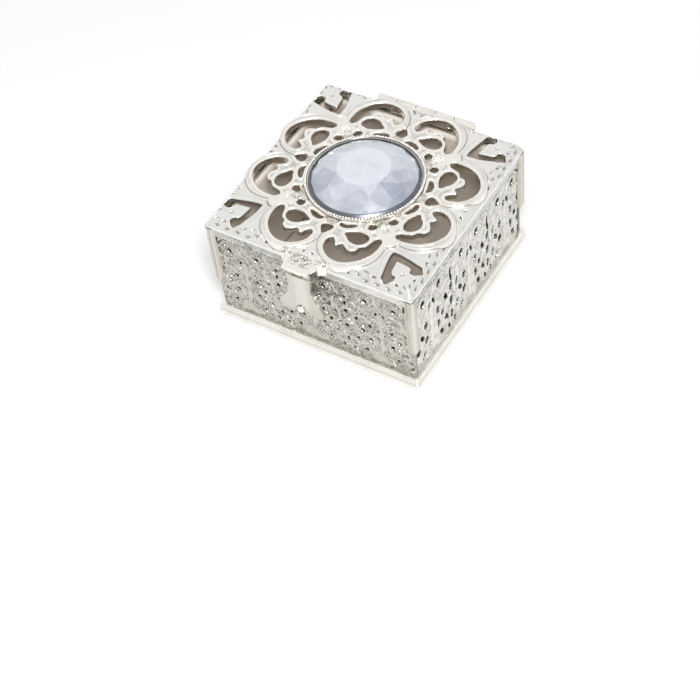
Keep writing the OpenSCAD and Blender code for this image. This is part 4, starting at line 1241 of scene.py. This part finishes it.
class KEEPSAKEBOX_OT_hinge(bpy.types.Operator):
    """Back hinge: two strips with rolled knuckles and their pin"""
    bl_idname = "keepsakebox.hinge"
    bl_label = "Back hinge"

    def execute(self, context):
        axis_y = (HINGE_PIN_LOW[1] + HINGE_PIN_HIGH[1]) / 2
        axis_z = (HINGE_PIN_LOW[2] + HINGE_PIN_HIGH[2]) / 2
        r = STRIP_HIGH[2] - axis_z
        half = STRIP_HIGH[0]
        bounds = np.linspace(-half, half, 6)
        rail = STRIP_LOW[1]
        strip_top, gap = axis_z - r - 0.35, 0.05
        case = Shell()
        case.add(*soft_block((-half, rail, STRIP_LOW[2]), (half, rail + 0.6, strip_top), 0.12), 0.1)
        lid = Shell()
        lid.add(*soft_block((bounds[1] + gap, LID_HALF - 1.6, LID_Z + 0.1),
                            (bounds[4] - gap, LID_HALF - LID_RIM, UNDER_Z), 0.1), 0.2)
        for i in range(5):
            x0, x1 = bounds[i] + (gap if i else 0), bounds[i + 1] - (gap if i < 4 else 0)
            body = lid if i % 2 else case
            body.grid(barrel(x0, x1, r, axis_y, axis_z, 40), closed=True, tarnish_and_shade=0.1)
            if i % 2:
                body.add(*soft_block((x0, LID_HALF - 1.1, LID_Z + 0.1), (x1, axis_y, LID_Z + 0.7), 0.08), 0.1)
            else:
                body.add(*soft_block((x0, rail, axis_z - r - 0.4), (x1, axis_y - 0.6, axis_z - 0.6), 0.08),
                         0.15)
        z = (STRIP_LOW[2] + strip_top) / 2
        for x in (-half * 0.72, 0, half * 0.72):
            rivet = [(0.42, -rail - 0.5), (0.4, -rail - 0.66), (0.25, -rail - 0.74), (0.01, -rail - 0.76)]
            case.grid(lathe(rivet, 24, "-Y", (x, 0, z)), closed=True, tarnish_and_shade=0.05, flip=True)
        case.piece("case_hinge_leaf", finish_named("bright_silver"), "case", "silver_plate",
                   ["case_hinge_strip"])
        lid.piece("lid_hinge_leaf", finish_named("bright_silver"), "lid", "silver_plate", ["lid_hinge_strip"])
        pin = Shell()
        x1, pr = HINGE_PIN_HIGH[0], HINGE_PIN_HIGH[2] - axis_z
        end = dome(pr, x1 - 0.2, 0.19, 6)
        profile = [(a, -b) for a, b in end[::-1]] + end
        pin.grid(lathe(profile, 32, "X", (0, axis_y, axis_z)), closed=True)
        pin.piece("hinge_pin_rod", finish_named("shaded_satin_silver"), "case", "silver_plate", ["hinge_pin"])
        return {"FINISHED"}


class KEEPSAKEBOX_OT_lining(bpy.types.Operator):
    """Fabric-covered floor and wall pads"""
    bl_idname = "keepsakebox.lining"
    bl_label = "Lining"

    def execute(self, context):
        finish = finish_named("taupe_lining")

        def pad_piece(name, half_u, low_v, high_v, thick, place, node, seed):
            """Thin pad with a crowned face and rolled edges, drawn as (along, up, outwards)."""
            us, vs = np.linspace(-half_u, half_u, 61), np.linspace(low_v, high_v, 41)
            u, v = np.meshgrid(us, vs, indexing="ij")
            edge = np.minimum(half_u - np.abs(u), np.minimum(v - low_v, high_v - v))
            w = thick - rounding(edge, 0.45) - 0.03 + 0.03 * waves(u, v, 9, seed)
            w = np.minimum(w, thick)
            front = np.stack([u, v, w], 2).reshape(-1, 3)
            shell = Shell()
            n = len(vs)
            faces = [[i * n + j, (i + 1) * n + j, (i + 1) * n + j + 1, i * n + j + 1]
                     for i in range(len(us) - 1) for j in range(n - 1)]
            shell.add(place(front), faces)
            flat = front.copy()
            flat[:, 2] = 0.01
            shell.add(place(flat), [f[::-1] for f in faces])
            m = len(us)
            loop = ([(i, 0) for i in range(m)] + [(m - 1, j) for j in range(1, n)]
                    + [(i, n - 1) for i in range(m - 2, -1, -1)] + [(0, j) for j in range(n - 2, 0, -1)])
            ids = [i * n + j for i, j in loop]
            rim = np.concatenate([front[ids], flat[ids]])
            k = len(ids)
            shell.add(place(rim), [[(i + 1) % k, i, k + i, k + (i + 1) % k] for i in range(k)])
            bm = bmesh.new()
            piece = shell.piece(name, finish, "case", "taupe_lining", [node], 70)
            bm.from_mesh(piece.data)
            bmesh.ops.remove_doubles(bm, verts=bm.verts[:], dist=1e-7)
            bmesh.ops.recalc_face_normals(bm, faces=bm.faces[:])
            bm.to_mesh(piece.data)
            bm.free()

        thick = FLOOR_HIGH[2] - FLOOR_LOW[2]
        half = FLOOR_HIGH[0]
        pad_piece("floor_pad", half, -half, half, thick, lambda p: p + [0, 0, FLOOR_LOW[2]],
                  "floor_lining", 50)
        outer, depth = -WALL_LOW[1], WALL_HIGH[1] - WALL_LOW[1]
        low, high = WALL_LOW[2], WALL_HIGH[2]
        for side, quarter in WALLS:
            node_high = node_mm(f"{side}_lining")[1]
            half_u = node_high[quarter % 2]

            def place(p, quarter=quarter):
                return turned(np.stack([p[:, 0], -outer + p[:, 2], p[:, 1]], 1), quarter)
            pad_piece(f"{side}_wall_pad", half_u, low, high, depth, place, f"{side}_lining", 51 + quarter)
        return {"FINISHED"}


class KEEPSAKEBOX_OT_stage(bpy.types.Operator):
    """White floor, plain soft light and the camera"""
    bl_idname = "keepsakebox.stage"
    bl_label = "Stage, light and camera"

    def execute(self, context):
        scene = context.scene
        mesh = bpy.data.meshes.new("white_floor")
        mesh.from_pydata(square_points(FLOOR_HALF, 0), [], [(0, 1, 2, 3)])
        floor = bpy.data.objects.new("white_floor", mesh)
        scene.collection.objects.link(floor)
        paper, tree, surface = new_finish("white_paper")
        surface.inputs["Base Color"].default_value = (FLOOR_TONE,) * 3 + (1,)
        surface.inputs["Roughness"].default_value = 0.9
        surface.inputs["Specular IOR Level"].default_value = 0.1
        mesh.materials.append(paper)

        world = bpy.data.worlds.new("white_room")
        scene.world = world
        world.use_nodes = True
        tree = world.node_tree
        tree.nodes.clear()
        out = tree.nodes.new("ShaderNodeOutputWorld")
        back = tree.nodes.new("ShaderNodeBackground")
        place = tree.nodes.new("ShaderNodeTexCoord")
        split = tree.nodes.new("ShaderNodeSeparateXYZ")
        tree.links.new(place.outputs["Generated"], split.inputs[0])
        rise = ramp_node(tree, split.outputs["Z"], 0.0, 0.7, 0.0, 1.0)
        tree.links.new(mix_node(tree, rise, (HORIZON_TONE,) * 3, (SKY_TONE,) * 3), back.inputs["Color"])
        back.inputs["Strength"].default_value = 1.0
        tree.links.new(back.outputs[0], out.inputs[0])

        light = bpy.data.lights.new("soft_key", "AREA")
        light.shape = "SQUARE"
        light.size = LAMP_SIZE
        light.energy = scene.keepsake_box.key_power
        lamp = bpy.data.objects.new("soft_key", light)
        lamp.location = LAMP_AT
        lamp.rotation_mode = "QUATERNION"
        lamp.rotation_quaternion = (Vector(LAMP_TARGET) - lamp.location).to_track_quat("-Z", "Y")
        scene.collection.objects.link(lamp)

        lens = bpy.data.cameras.new("camera")
        camera = bpy.data.objects.new("camera", lens)
        scene.collection.objects.link(camera)
        azimuth, elevation, roll = (math.radians(turn) for turn in CAMERA_TURNS)
        back_v = Vector((math.sin(azimuth) * math.cos(elevation), -math.cos(azimuth) * math.cos(elevation),
                         math.sin(elevation)))
        right = Vector((math.cos(azimuth), math.sin(azimuth), 0))
        up = back_v.cross(right)
        r = right * math.cos(roll) + up * math.sin(roll)
        u = -right * math.sin(roll) + up * math.cos(roll)
        place = Vector(CAMERA_TARGET) + back_v * CAMERA_REACH
        camera.matrix_world = Matrix(((r.x, u.x, back_v.x, place.x), (r.y, u.y, back_v.y, place.y),
                                      (r.z, u.z, back_v.z, place.z), (0, 0, 0, 1)))
        lens.sensor_width = SENSOR_WIDTH
        lens.lens = SENSOR_WIDTH * FOCAL_PIXELS / FRAME_PIXELS
        lens.clip_start, lens.clip_end = 0.01, 20
        scene.camera = camera
        scene.view_settings.view_transform = "Standard"
        return {"FINISHED"}


class KEEPSAKEBOX_PT_panel(bpy.types.Panel):
    """Sizes, colours and the pieces in making order"""
    bl_idname = "KEEPSAKEBOX_PT_panel"
    bl_label = "Keepsake box"
    bl_space_type = "VIEW_3D"
    bl_region_type = "UI"
    bl_category = "Keepsake box"

    def draw(self, context):
        settings = context.scene.keepsake_box
        for prop in settings.bl_rna.properties:
            if prop.identifier not in {"rna_type", "name"}:
                self.layout.prop(settings, prop.identifier)
        for operator in OPERATORS:
            self.layout.operator(operator.bl_idname)


OPERATORS = (KEEPSAKEBOX_OT_stage, KEEPSAKEBOX_OT_base, KEEPSAKEBOX_OT_panels, KEEPSAKEBOX_OT_rails,
             KEEPSAKEBOX_OT_posts, KEEPSAKEBOX_OT_lid, KEEPSAKEBOX_OT_stone, KEEPSAKEBOX_OT_clasp,
             KEEPSAKEBOX_OT_hinge, KEEPSAKEBOX_OT_lining)
CLASSES = (KeepsakeBoxSettings, *OPERATORS, KEEPSAKEBOX_PT_panel)


def register():
    for cls in CLASSES:
        bpy.utils.register_class(cls)
    bpy.types.Scene.keepsake_box = bpy.props.PointerProperty(type=KeepsakeBoxSettings)


def unregister():
    del bpy.types.Scene.keepsake_box
    for cls in reversed(CLASSES):
        bpy.utils.unregister_class(cls)


def main():
    register()
    for operator in OPERATORS:
        group, name = operator.bl_idname.split(".")
        getattr(getattr(bpy.ops, group), name)()


if __name__ == "__main__":
    main()
